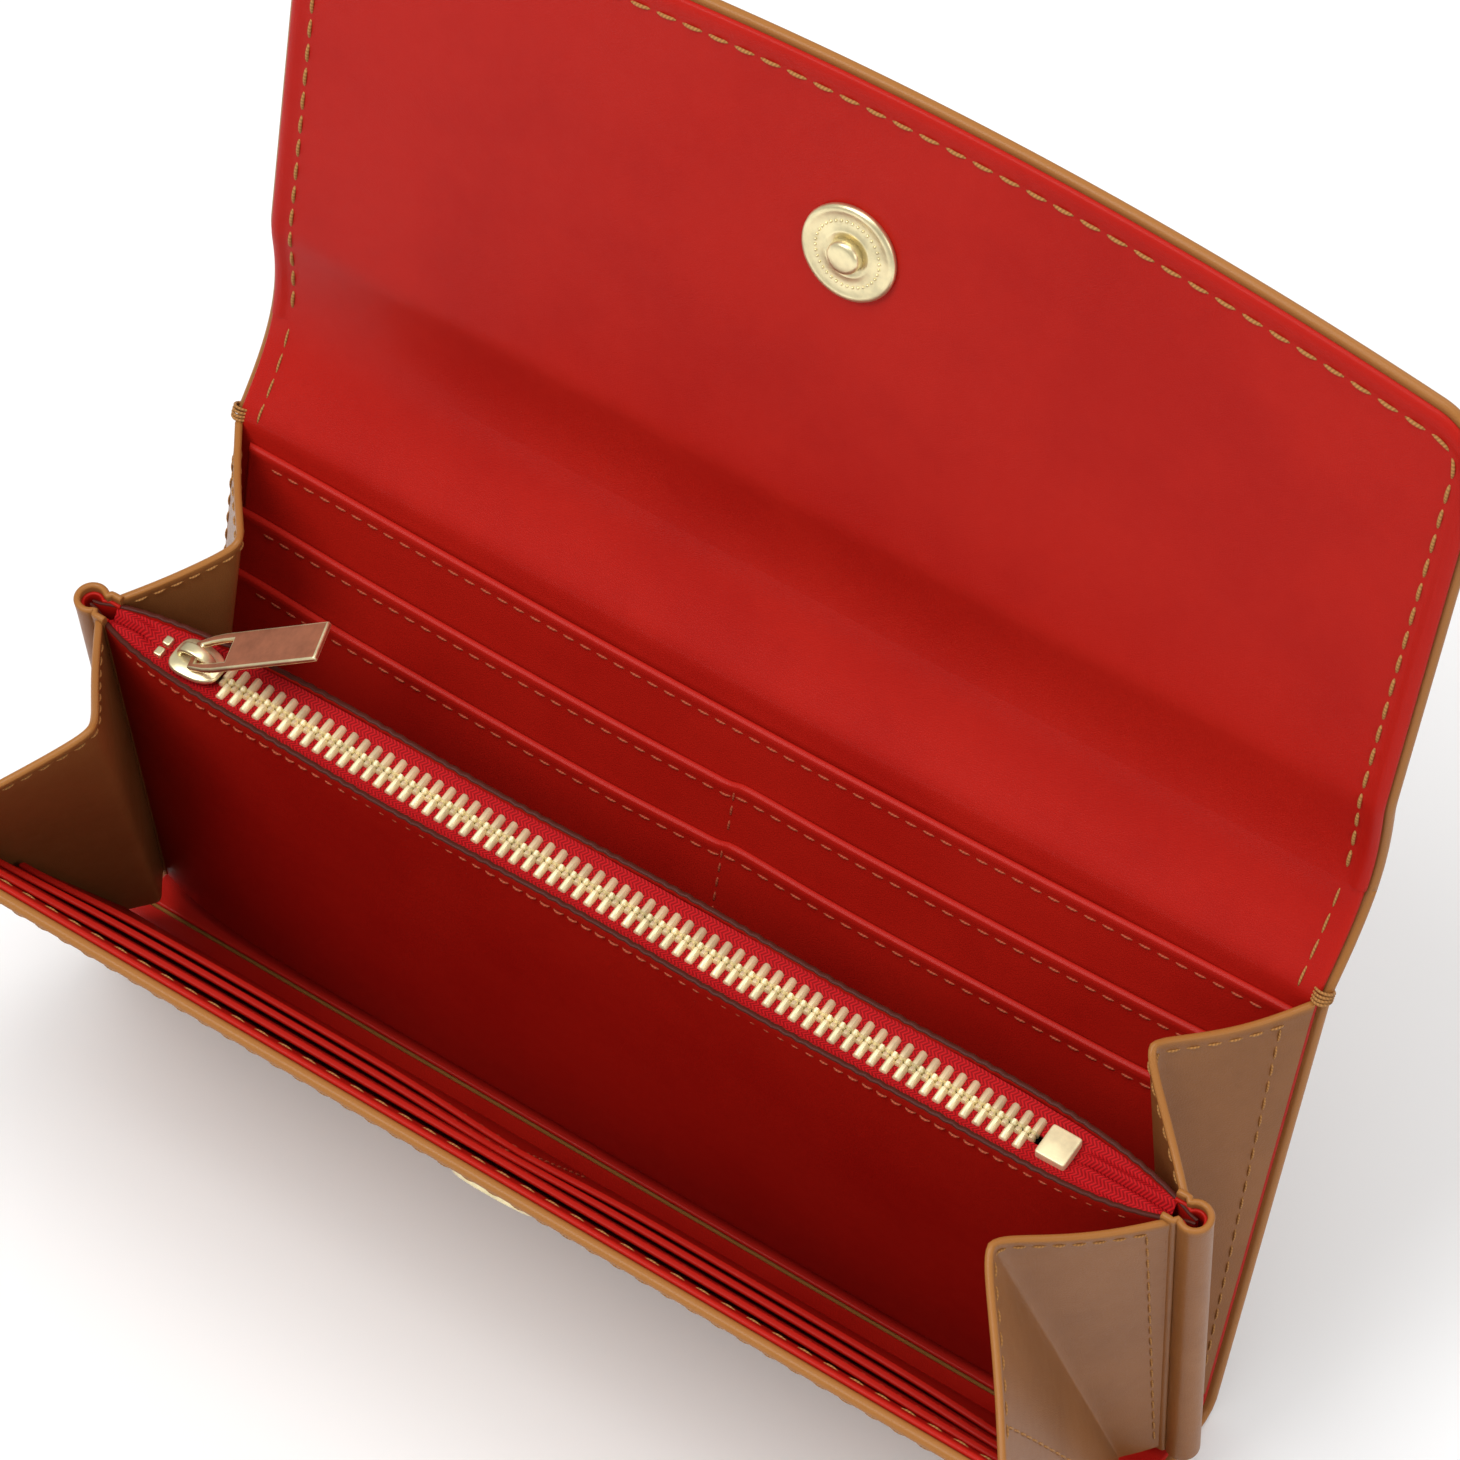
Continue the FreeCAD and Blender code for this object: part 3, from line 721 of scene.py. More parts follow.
def stitch_run(line, normal, length, gap, radius):
    """Stitches along a line of points on a surface, with one normal for each point or for them all.

    Each stitch is a tube of six sides and six rings: its centre rises out of the leather as a half sine and
    its radius swells the same way. Returns a part for join_parts."""
    normal = np.broadcast_to(normal, line.shape)
    steps = np.linalg.norm(np.diff(line, axis=0), axis=1)
    run = np.r_[0.0, np.cumsum(steps)]
    count = max(1, int((run[-1] + gap) // (length + gap)))
    spare = run[-1] - count * (length + gap) + gap
    tau = np.linspace(0.0, 1.0, STITCH_RINGS)
    s = spare / 2 + np.arange(count)[:, None] * (length + gap) + tau * length
    centre = np.stack([np.interp(s, run, line[:, i]) for i in range(3)], axis=-1)
    out = np.stack([np.interp(s, run, normal[:, i]) for i in range(3)], axis=-1)
    out /= np.linalg.norm(out, axis=-1, keepdims=True)
    tangent = centre[:, -1:] - centre[:, :1]
    tangent = np.broadcast_to(tangent / np.linalg.norm(tangent, axis=-1, keepdims=True), centre.shape)
    side = np.cross(out, tangent)
    side /= np.linalg.norm(side, axis=-1, keepdims=True)
    arch = np.sqrt(np.sin(np.pi * np.clip(tau, 0.02, 0.98)))
    angle = np.arange(STITCH_SIDES) * math.pi / (STITCH_SIDES // 2)
    lift = radius * (arch * 1.5 - 1.0)
    centre = centre + out * lift[None, :, None]
    width = radius * (0.5 + 0.5 * arch)
    ring = (np.cos(angle)[:, None] * side[:, :, None, :] + np.sin(angle)[:, None] * out[:, :, None, :])
    points = centre[:, :, None, :] + ring * width[None, :, None, None]
    index = np.arange(STITCH_RINGS * STITCH_SIDES).reshape(STITCH_RINGS, STITCH_SIDES)
    onward = np.roll(index, -1, axis=1)
    quads = np.stack([index[:-1], onward[:-1], onward[1:], index[1:]], axis=-1).reshape(-1, 4)
    faces = repeated(count, index.size, quads, (index[0][::-1], index[-1]))
    along = np.broadcast_to(s[:, :, None], points.shape[:3])
    across = np.broadcast_to(angle / (2 * math.pi), points.shape[:3])
    return points, faces, None, np.stack([along, across], axis=-1)


def profile_run(path, x, s, depth, face, length, gap, radius):
    """Stitches on a sheet along a profile. Face is 1 on the outer side and -1 on the inner side."""
    x, s = np.broadcast_arrays(np.asarray(x, float), np.asarray(s, float))
    line = path.at(x, s, depth)
    out = path.out(s) * face
    normal = np.concatenate([np.zeros(len(s))[:, None], out], axis=-1)
    return stitch_run(line, normal, length, gap, radius)


def flap_top(x, half=HALF, inset=0.0):
    """Length along the profile at which the flap ends, at x: a bowed edge with quarter circles as corners."""
    bow = S_SPINE_END + FLAP_SIDE + FLAP_BOW * (1 - (x / HALF) ** 2) - inset
    radius = CORNER - inset
    past = np.clip(np.abs(x) - (half - radius), 0.0, radius)
    return bow - (radius - np.sqrt(np.maximum(radius ** 2 - past ** 2, 0.0)))


def flap_outline(inset, start):
    """(x, s) line round the flap, a set distance inside its edge, from one side's start to the other's."""
    half = HALF - inset
    radius = CORNER - inset
    shoulder = half - radius
    top = flap_top(np.array([shoulder]), half, inset)[0]
    turn = np.linspace(math.pi, math.pi / 2, 12)
    left = np.stack([np.full(60, -half), np.linspace(start, top - radius, 60)], axis=1)
    corner = np.stack([-shoulder + radius * np.cos(turn), top - radius + radius * np.sin(turn)], axis=1)
    xs = np.linspace(-shoulder, shoulder, 120)[1:-1]
    bow = np.stack([xs, flap_top(xs, half, inset)], axis=1)
    mirror = np.array([-1.0, 1.0])
    return np.concatenate([left, corner[1:], bow, corner[::-1] * mirror, left[::-1][1:] * mirror])


# ---------------------------------------------------------------- covers


def crease_span(s):
    """Two points on either side of a crease."""
    reach = 7.0 * MM
    ends = BACK_PATH.at(np.zeros(2), np.array([s - reach, s + reach]), WALL / 2)
    return ends[0], ends[1]


def strip(name, path, half, s_low, s_high, low, high, paint, rounded, bead=0.0, step=(3.0, 1.2)):
    """Full-width strip of leather between two lengths of a profile.

    Grid of x and s. The sides are rounded, and each end too where rounded says so. A bead thickens the inner
    face along the sides and the far end."""
    radius = (high - low) * 0.5
    across = stations(2 * half, step[0] * MM, radius) - half
    along = stations(s_high - s_low, step[1] * MM, radius, *rounded)
    x, t = np.meshgrid(across, along, indexing="ij")
    s = s_low + t
    turned = half - np.abs(x)
    if rounded[1]:
        turned = np.minimum(turned, s_high - s)
    distance = np.minimum(turned, t) if rounded[0] else turned
    swell = bead * ridge(turned, 1.3 * MM, 0.8 * MM)
    swell = swell * np.clip(t / (4.0 * MM), 0.0, 1.0)
    inner, outer = layered(path, x, s, low, high, distance, radius, swell)
    return sheet_solid(name, inner, outer, paint, edge_value(distance, EDGE_REACH), np.stack([x, s], axis=-1))


def flap_sheet(name, inset, low, high, paint, bead=0.0):
    """Upper spine and flap in one sheet, from mid spine to the bowed edge.

    Grid of x and a share of the length at that x."""
    half = HALF - inset
    radius = (high - low) * 0.5
    across = np.unique(np.concatenate([stations(2 * half, 2.5 * MM, radius) - half,
                                       np.linspace(half - CORNER, half - radius, 14),
                                       -np.linspace(half - CORNER, half - radius, 14)]))
    span = S_TIP - S_SPINE_MID
    along = stations(span, 1.3 * MM, radius, False, True) / span
    x, share = np.meshgrid(across, along, indexing="ij")
    top = flap_top(x, half, inset)
    s = S_SPINE_MID + share * (top - S_SPINE_MID)
    slant = np.hypot(1.0, np.gradient(flap_top(across, half, inset), across))[:, None]
    distance = np.minimum(half - np.abs(x), (top - s) / np.minimum(slant, 4.0))
    swell = bead * ridge(distance, 1.3 * MM, 0.8 * MM)
    inner, outer = layered(BACK_PATH, x, s, low, high, distance, radius, swell)
    return sheet_solid(name, inner, outer, paint, edge_value(distance, EDGE_REACH), np.stack([x, s], axis=-1))


class WALLET_OT_back(bpy.types.Operator):
    """Base, back wall and lower spine, in outer leather and lining."""

    bl_idname = "wallet.back"
    bl_label = "Back and base"

    def execute(self, context):
        outer = strip("back_cover", BACK_PATH, HALF, FOLD_START, S_SPINE_MID, LINING, WALL, "tan",
                      (True, False))
        lining = strip("back_lining", BACK_PATH, HALF - LINING_INSET, FOLD_START, S_SPINE_MID, LINING_FACE,
                       LINING, "red", (True, False), sizes().bead * 0.6)
        start, end = crease_span(S_BACK_TOP)
        attach_bent(outer, "base_and_back", "spine", start, end, "tan_leather",
                    ("base_and_back_leather", "back_stiffener", "base_stiffener"))
        attach_bent(lining, "base_and_back", "spine", start, end, "red_leather", ("base_and_back_lining",))
        return {"FINISHED"}


class WALLET_OT_flap(bpy.types.Operator):
    """Upper spine and flap, in outer leather and lining."""

    bl_idname = "wallet.flap"
    bl_label = "Spine and flap"

    def execute(self, context):
        outer = flap_sheet("flap_cover", 0.0, LINING, WALL, "tan")
        lining = flap_sheet("flap_lining_sheet", 1.0 * MM, LINING_FACE, LINING, "red", sizes().bead)
        start, end = crease_span(S_SPINE_END)
        covered = ("spine_leather", "spine_interlining", "flap_leather", "flap_stiffener", "snap_stud_washer")
        attach_bent(outer, "spine", "flap", start, end, "tan_leather", covered)
        attach_bent(lining, "spine", "flap", start, end, "red_leather", ("spine_lining", "flap_lining"))
        return {"FINISHED"}


class WALLET_OT_front(bpy.types.Operator):
    """Front wall with its rounded foot, in outer leather and lining."""

    bl_idname = "wallet.front"
    bl_label = "Front wall"

    def execute(self, context):
        half = HALF - LINING_INSET
        outer = strip("front_cover", FRONT_PATH, HALF, FOLD_START, S_RIM, LINING, WALL, "tan", (True, True))
        lining = strip("front_lining_sheet", FRONT_PATH, half, 0.7 * MM, S_RIM - 0.7 * MM, LINING_FACE,
                       LINING, "red", (True, True), sizes().bead * 0.7)
        fold = strip("front_fold_strip", FRONT_PATH, half, 0.4 * MM, 2.0 * MM, 0.60 * MM, 0.82 * MM, "red",
                     (True, False), step=(3.0, 0.3))
        attach(fold, "front")
        attach(outer, "front", ("front_leather", "front_stiffener", "snap_socket_washer"))
        attach(lining, "front", ("front_lining",))
        return {"FINISHED"}


# ---------------------------------------------------------------- pockets


def stand_off(x, up, layer, slip_top, gape, slant):
    """How far a pocket sheet stands off its wall.

    The slip pocket is a flat-topped arch from side to side, and each card pocket adds a flat-topped arch that
    comes back to nothing at the divider. All grow evenly up the wall, so no sheet crosses the next."""
    share = (x + TIER_HALF) / (2 * TIER_HALF)
    whole = 1 - np.abs(np.cos(math.pi * share)) ** 8
    halves = 1 - np.abs(np.cos(2 * math.pi * share)) ** 8
    tilt = 1 - slant * x / TIER_HALF
    rise = np.clip(up / slip_top, 0.0, 1.0)
    return gape * tilt * rise * (whole + layer * halves)


def tier_face(x, up, layer, slip_top, gape, slant):
    """Distance from the wall to the middle of a pocket sheet."""
    return POCKET_SHEET * (layer + 0.5) + stand_off(x, up, layer, slip_top, gape, slant)


def tier_sheet(name, wall, towards, layer, slip_top, gape, slant):
    """One inside pocket sheet on a wall.

    Grid of x and height on the stand-off surface. The top is a turned bead that dips slightly between its
    corners, and a sewn groove runs down the divider of the card tiers."""
    top = slip_top - TIER_STEP * layer
    low = 3.0 * MM
    radius = POCKET_SHEET * 0.7
    across = stations(2 * TIER_HALF, 1.6 * MM, radius) - TIER_HALF
    along = stations(top - low, 1.3 * MM, radius)
    x, t = np.meshgrid(across, along, indexing="ij")
    dip = tier_dip(x, layer)
    up = low + t * (1 - dip / (top - low))
    distance = np.minimum(TIER_HALF - np.abs(x), np.minimum(t + 1.0, top - dip - up))
    bead = sizes().bead * ridge(top - dip - up, 0.9 * MM, 0.7 * MM)
    groove = 0.16 * MM * ridge(x, 0.0, 0.7 * MM) if layer else 0.0
    share = roundness(distance, radius)
    base = tier_face(x, up, layer, slip_top, gape, slant)
    half = POCKET_SHEET / 2 * share
    inner = wall.at(x, towards * (base - half), up)
    outer = wall.at(x, towards * (base + half + bead * share - groove), up)
    return sheet_solid(name, inner, outer, "red", edge_value(distance, 1.0 * MM), np.stack([x, up], axis=-1))


def tier_dip(x, layer):
    """How far a pocket's top edge drops below its corners: a sag over it, and a step at the divider."""
    sag = 0.9 * MM * np.cos(math.pi * x / (2 * TIER_HALF)) ** 2
    step = 0.8 * MM / (1 + np.exp(x / (0.5 * MM)))
    return sag + (step if layer else 0.0)


def tier_runs(wall, towards, layer, slip_top, gape, slant):
    """Stitches below a pocket's turned edge, and down the divider."""
    top = slip_top - TIER_STEP * layer
    x = np.linspace(-TIER_HALF + 3 * MM, TIER_HALF - 3 * MM, 300)
    up = top - tier_dip(x, layer) - 2.6 * MM
    normal = wall.direction(0.0, towards * 1.0, 0.0)
    fine = sizes().fine_thread
    face = tier_face(x, up, layer, slip_top, gape, slant) + POCKET_SHEET * 0.5
    runs = [stitch_run(wall.at(x, towards * face, up), normal, 2.2 * MM, 0.8 * MM, fine)]
    if layer:
        low = top - TIER_STEP if layer == 1 else 8.0 * MM
        up = np.linspace(top - 2.0 * MM, low, 60)
        face = tier_face(0.0, up, layer, slip_top, gape, slant) + POCKET_SHEET * 0.5 - 0.08 * MM
        runs.append(stitch_run(wall.at(0.0, towards * face, up), normal, 2.2 * MM, 0.8 * MM, fine))
    return runs


class WALLET_OT_pockets(bpy.types.Operator):
    """Slip pocket and card tiers inside both walls."""

    bl_idname = "wallet.pockets"
    bl_label = "Card pockets"

    def execute(self, context):
        names = ("slip_pocket", "upper_card_tier", "lower_card_tier")
        sides = (("back", BACK, -1.0, BACK_SLIP_TOP, 0.55 * MM, 0.0, "base_and_back"),
                 ("front", FRONT, 1.0, FRONT_SLIP_TOP, 0.62 * MM, 0.15, "front"))
        for side, wall, towards, slip_top, gape, slant, body in sides:
            runs = []
            for layer, name in enumerate(names):
                sheet = tier_sheet(side + "_" + name + "_sheet", wall, towards, layer, slip_top, gape, slant)
                attach(sheet, body, (side + "_" + name,))
                runs += tier_runs(wall, towards, layer, slip_top, gape, slant)
            attach(join_parts(side + "_pocket_threads", runs, "thread_red"), body)
        return {"FINISHED"}


# ---------------------------------------------------------------- gussets


def mouth(x):
    """Half the width of the zip pocket's mouth at x: nearly even, closing smoothly at the ends."""
    return 0.06 * MM + 4.8 * MM * np.maximum(1 - np.abs(x / HALF) ** 9, 0.0)


def gusset_lines(side, half):
    """Edge, fold and neck lines of one gusset panel, each as its (top, foot) points."""
    neck_x = side * (HALF - 2.2 * MM)
    neck = [POCKET.at(neck_x, half * 2.1 * MM, up) for up in (POCKET_HEIGHT + 0.6 * MM, 0.8 * MM)]
    edge_x = side * (HALF - 1.6 * MM)
    if half > 0:
        edge = [BACK.at(edge_x, -0.35 * MM, up) for up in (BACK_HEIGHT - 1.0 * MM, 3.5 * MM)]
        fold = [np.array([side * x, y, z]) * MM for x, y, z in BACK_FOLD_POINTS]
    else:
        edge = [FRONT.at(edge_x, 0.35 * MM, up) for up in (FRONT_HEIGHT - 1.2 * MM, 0.0)]
        fold = [np.array([side * x, y, z]) * MM for x, y, z in FRONT_FOLD_POINTS]
    return edge, fold, neck


def gusset_surface(side, half, share, level):
    """Mid surface of a gusset panel.

    share runs from the wall's edge (0) over the inward fold to the neck (1), level from the top (0) to the
    foot (1). A point is on the straight line from edge to neck, drawn towards the fold by a rounded tent,
    with a soft double belly between, and the top edge sags between its three corners."""
    edge, fold, neck = gusset_lines(side, half)

    def line(ends):
        return ends[0] + (ends[1] - ends[0]) * level[..., None]

    soft = 0.10
    tent = (np.hypot(1.0, soft) - np.hypot(2 * share - 1, soft)) / (np.hypot(1.0, soft) - soft)
    straight = line(edge) + (line(neck) - line(edge)) * share[..., None]
    middle = (line(edge) + line(neck)) / 2
    points = straight + (line(fold) - middle) * tent[..., None]
    belly = np.sin(2 * math.pi * share) * 0.9 * MM * (1 - level * 0.7)
    points[..., 0] += side * np.abs(belly) * 0.8
    sag = 1.3 * MM * np.abs(np.sin(2 * math.pi * share)) * (1 - level) ** 6
    points[..., 2] -= sag
    return points


def grid_normals(points, towards):
    """Unit normals of a grid of points, all on the side of a direction."""
    du = np.gradient(points, axis=0)
    dv = np.gradient(points, axis=1)
    normal = np.cross(du, dv)
    normal /= np.linalg.norm(normal, axis=-1, keepdims=True)
    if np.sum(normal * np.asarray(towards)) < 0:
        normal = -normal
    return normal


def gusset_panel(name, side, half):
    """Folded gusset panel with a turned top edge, and a weight for each point: its share of the way from wall
    to neck.
    """
    thick = 0.45 * MM
    share_line = np.linspace(0.0, 1.0, 61)
    level_line = stations(GUSSET_HEIGHT, 1.4 * MM, thick) / GUSSET_HEIGHT
    share, level = np.meshgrid(share_line, level_line, indexing="ij")
    middle = gusset_surface(side, half, share, level)
    normal = grid_normals(middle, (side, 0.0, 0.0))
    down = level * GUSSET_HEIGHT
    bead = 0.22 * MM * ridge(down, 1.0 * MM, 0.8 * MM)
    depth = (thick * roundness(np.minimum(down, GUSSET_HEIGHT - down), thick) + bead)[..., None]
    edge = edge_value(down, 1.0 * MM)
    obj = sheet_solid(name, middle - normal * depth, middle + normal * depth, "tan", edge,
                      np.stack([share, level], axis=-1))
    return obj, np.concatenate([share.ravel()] * 2)


def gusset_threads(side, half):
    """Stitches below a gusset's top edge on both faces, and their weights."""
    parts = []
    weights = []
    share = np.linspace(0.06, 0.94, 200)
    level_lines = (2.2 * MM / GUSSET_HEIGHT) + np.array([[-0.001], [0.0], [0.001]])
    grid_share, grid_level = np.meshgrid(share, level_lines.ravel(), indexing="ij")
    middle = gusset_surface(side, half, grid_share, grid_level)
    normal = grid_normals(middle, (side, 0.0, 0.0))
    for face in (1.0, -1.0):
        line = middle[:, 1] + normal[:, 1] * 0.5 * MM * face
        run = stitch_run(line, normal[:, 1] * face, 2.3 * MM, 0.8 * MM, sizes().fine_thread)
        length = np.r_[0.0, np.cumsum(np.linalg.norm(np.diff(line, axis=0), axis=1))]
        parts.append(run)
        weights.append(np.interp(run[3][..., 0], length, share).ravel())
    level = np.linspace(0.03, 0.96, 160)
    for seam in (0.10, 0.93):
        seam_share, seam_level = np.meshgrid(seam + np.array([-0.01, 0.0, 0.01]), level, indexing="ij")
        middle = gusset_surface(side, half, seam_share, seam_level)
        normal = grid_normals(middle, (side, 0.0, 0.0))
        run = stitch_run(middle[1] + normal[1] * 0.5 * MM, normal[1], 2.6 * MM, 0.9 * MM, sizes().fine_thread)
        parts.append(run)
        weights.append(np.full(run[0].size // 3, seam))
    return parts, np.concatenate(weights)


def corner_knot(side):
    """Whipping of thread over the top corner of the back wall: four short hoops side by side."""
    s = S_BACK_TOP - 1.0 * MM + np.arange(4) * 0.6 * MM
    turn = np.linspace(0.0, 2 * math.pi, 21)[:-1]
    parts = []
    for place in s:
        x = side * (HALF - 1.1 * MM + 1.35 * MM * np.cos(turn))
        depth = WALL / 2 - 0.2 * MM + (WALL / 2 + 0.35 * MM) * np.sin(turn)
        line = BACK_PATH.at(x, place, depth)
        out = line - BACK_PATH.at(side * (HALF - 1.1 * MM), place, WALL / 2 - 0.2 * MM)
        out /= np.linalg.norm(out, axis=-1, keepdims=True)
        cross = np.array([0.0, *BACK.up])
        angle = np.arange(6) * math.pi / 3
        radius = 0.28 * MM
        ring = np.cos(angle)[None, :, None] * out[:, None, :] + np.sin(angle)[None, :, None] * cross
        parts.append(hoop_part(line[:, None, :] + radius * ring))
    return parts


def hoop_part(points):
    """Part made of rings of points that follow one another round a closed hoop."""
    rows, cols = points.shape[:2]
    index = np.arange(rows * cols).reshape(rows, cols)
    ahead = np.roll(index, -1, axis=0)
    quads = np.stack([index, np.roll(index, -1, 1), np.roll(ahead, -1, 1), ahead], axis=-1).reshape(-1, 4)
    corner = points.reshape(-1, 3)[quads]
    normal = np.cross(corner[:, 1] - corner[:, 0], corner[:, 3] - corner[:, 0])
    middle = points.mean(axis=1)
    away = corner.mean(axis=1) - (middle + np.roll(middle, -1, axis=0)).repeat(cols, axis=0) / 2
    if np.sum(normal * away) < 0:
        quads = quads[:, ::-1]
    along = np.broadcast_to(np.arange(rows)[:, None] * 0.5 * MM, (rows, cols))
    across = np.broadcast_to(np.arange(cols)[None, :] / cols, (rows, cols))
    return points, [quads], None, np.stack([along, across], axis=-1)


def loop_tube(name, side, radius, thick, paint):
    """Tube of leather round the end of the zip pocket.

    Its plan starts beside one pocket wall, runs round a circle and ends beside the other wall, and it is
    carried straight up the pocket."""
    turn = np.radians(np.linspace(138, -138, 48))
    plan = np.stack([LOOP_X + radius * np.cos(turn), radius * np.sin(turn)], axis=1)
    tail = np.stack([np.linspace(91.6, 93.4, 6) * MM, np.full(6, radius - 0.1 * MM)], axis=1)
    plan = np.concatenate([tail, plan, tail[::-1] * np.array([1.0, -1.0])])
    height = POCKET_HEIGHT + 1.6 * MM - (2.25 * MM - radius) * 2
    up_line = stations(height, 1.5 * MM, thick)
    tangent = np.gradient(plan, axis=0)
    tangent /= np.linalg.norm(tangent, axis=1, keepdims=True)
    out = np.stack([-tangent[:, 1], tangent[:, 0]], axis=1)
    if np.sum(out * (plan - np.array([LOOP_X, 0.0]))) < 0:
        out = -out
    edge_near = np.minimum(up_line, height - up_line)
    bead = 0.15 * MM * ridge(height - up_line, 0.9 * MM, 0.7 * MM)
    depth = thick * roundness(edge_near, thick) + bead

    def grid(sign):
        flat = plan[:, None, :] + sign * out[:, None, :] * depth[None, :, None]
        up = np.broadcast_to(up_line, flat.shape[:2])
        return POCKET.at(side * flat[..., 0], flat[..., 1], up)

    edge = np.broadcast_to(edge_value(height - up_line, 1.0 * MM), (len(plan), len(up_line)))
    return sheet_solid(name, grid(-1.0), grid(1.0), paint, edge)


class WALLET_OT_gussets(bpy.types.Operator):
    """Folded gusset panels, the tubes round the pocket's ends and their threads."""

    bl_idname = "wallet.gussets"
    bl_label = "Gussets"

    def execute(self, context):
        for word, side in (("left", -1.0), ("right", 1.0)):
            for half_word, half, bodies in (("back", 1.0, ("base_and_back", "zip_pocket")),
                                            ("front", -1.0, ("front", "zip_pocket"))):
                panel, weight = gusset_panel("gusset_" + half_word + "_" + word + "_panel", side, half)
                edge, fold, neck = gusset_lines(side, half)
                attach_bent(panel, *bodies, edge[0], neck[0], "tan_leather",
                            ("gusset_" + half_word + "_" + word,), weight)
                parts, thread_weight = gusset_threads(side, half)
                threads = join_parts("gusset_" + half_word + "_" + word + "_threads", parts, "thread_tan")
                attach_bent(threads, *bodies, edge[0], neck[0], "tan_leather", (), thread_weight)
            tube = loop_tube("gusset_" + word + "_tube", side, 2.25 * MM, 0.42 * MM, "tan")
            attach(tube, "zip_pocket", ("gusset_loop_" + word,))
            roll = loop_tube("gusset_" + word + "_tube_lining", side, 1.58 * MM, 0.24 * MM, "red")
            attach(roll, "zip_pocket")
        self.neck_threads()
        knots = corner_knot(-1.0) + corner_knot(1.0)
        attach(join_parts("back_corner_knots", knots, "thread_tan"), "base_and_back")
        return {"FINISHED"}

    def neck_threads(self):
        """Fine stitches down the neck of each tube, on both sides."""
        runs = []
        up = np.linspace(POCKET_HEIGHT, 6.0 * MM, 160)
        for side in (-1.0, 1.0):
            for half in (1.0, -1.0):
                line = POCKET.at(side * NECK_X, half * 2.62 * MM, up)
                normal = POCKET.direction(0.0, half, 0.0)
                runs.append(stitch_run(line, normal, 2.0 * MM, 0.8 * MM, sizes().fine_thread))
        attach(join_parts("gusset_neck_threads", runs, "thread_brown"), "zip_pocket")


# ---------------------------------------------------------------- zip pocket


class WALLET_OT_zip_pocket(bpy.types.Operator):
    """Walls and floor of the centre pocket, with painted raw edges and fine stitches."""

    bl_idname = "wallet.zip_pocket"
    bl_label = "Zip pocket"

    def execute(self, context):
        runs = []
        for word, side in (("back", 1.0), ("front", -1.0)):
            attach(self.wall("zip_pocket_" + word + "_sheet", side), "zip_pocket",
                   ("zip_pocket_" + word + "_wall",))
            x = np.linspace(-HALF + 7 * MM, HALF - 7 * MM, 400)
            normal = POCKET.direction(0.0, side, 0.0)
            for face, depth in ((1.0, ZIP_WALL), (-1.0, 0.0)):
                line = POCKET.at(x, side * (mouth(x) + depth), POCKET_HEIGHT - 2.1 * MM)
                runs.append(stitch_run(line, normal * face, 1.7 * MM, 0.7 * MM, sizes().fine_thread))
        attach(join_parts("zip_pocket_threads", runs, "thread_red"), "zip_pocket")
        attach(self.floor(), "zip_pocket", ("zip_pocket_floor",))
        return {"FINISHED"}

    def wall(self, name, side):
        """One wall: grid of x and height on the mouth's plan. Its raw edge ripples between stitches."""
        radius = 0.3 * MM
        half = HALF + ZIP_WALL
        across = stations(2 * half, 1.1 * MM, radius) - half
        along = stations(POCKET_HEIGHT, 1.4 * MM, radius)
        x, up = np.meshgrid(across, along, indexing="ij")
        distance = np.minimum(half - np.abs(x), np.minimum(up, POCKET_HEIGHT - up))
        share = roundness(distance, radius)
        near_top = np.clip((up - POCKET_HEIGHT + 3 * MM) / (3 * MM), 0, 1)
        ripple = 0.12 * MM * np.sin(x * 2 * math.pi / (2.4 * MM)) * near_top ** 2
        wave = 0.22 * MM * np.sin(x * 2 * math.pi / (61 * MM) + side) * (up / POCKET_HEIGHT) ** 2
        taper = np.clip((HALF - np.abs(x)) / (12 * MM), 0, 1)
        thick = ZIP_WALL * (0.62 + 0.38 * np.clip((HALF - np.abs(x)) / (3 * MM), 0, 1))
        centre = mouth(x) + thick / 2 + (ripple + wave) * taper
        inner = POCKET.at(x, side * (centre - thick / 2 * share), up)
        outer = POCKET.at(x, side * (centre + thick / 2 * share), up)
        edge = np.clip(1 - (POCKET_HEIGHT - up) / (0.55 * MM), 0, 1)
        return sheet_solid(name, inner, outer, "raw", edge, np.stack([x, up], axis=-1))

    def floor(self):
        """Floor strip across the foot of the pocket."""
        across = np.linspace(-HALF + 3 * MM, HALF - 3 * MM, 90)
        side = np.linspace(-1.0, 1.0, 9)
        x, t = np.meshgrid(across, side, indexing="ij")
        back = t * (mouth(x) - 0.05 * MM)
        under = POCKET.at(x, back, 0.1 * MM)
        over = POCKET.at(x, back, 0.9 * MM)
        uv = np.stack([x, back], axis=-1)
        return sheet_solid("zip_pocket_floor_sheet", under, over, "red", np.zeros_like(x), uv)


# ---------------------------------------------------------------- zip


CHAIN_UP = 68.9 * MM
CHAIN_START = -71.4 * MM
CHAIN_END = 71.6 * MM
SHARP = 50.0


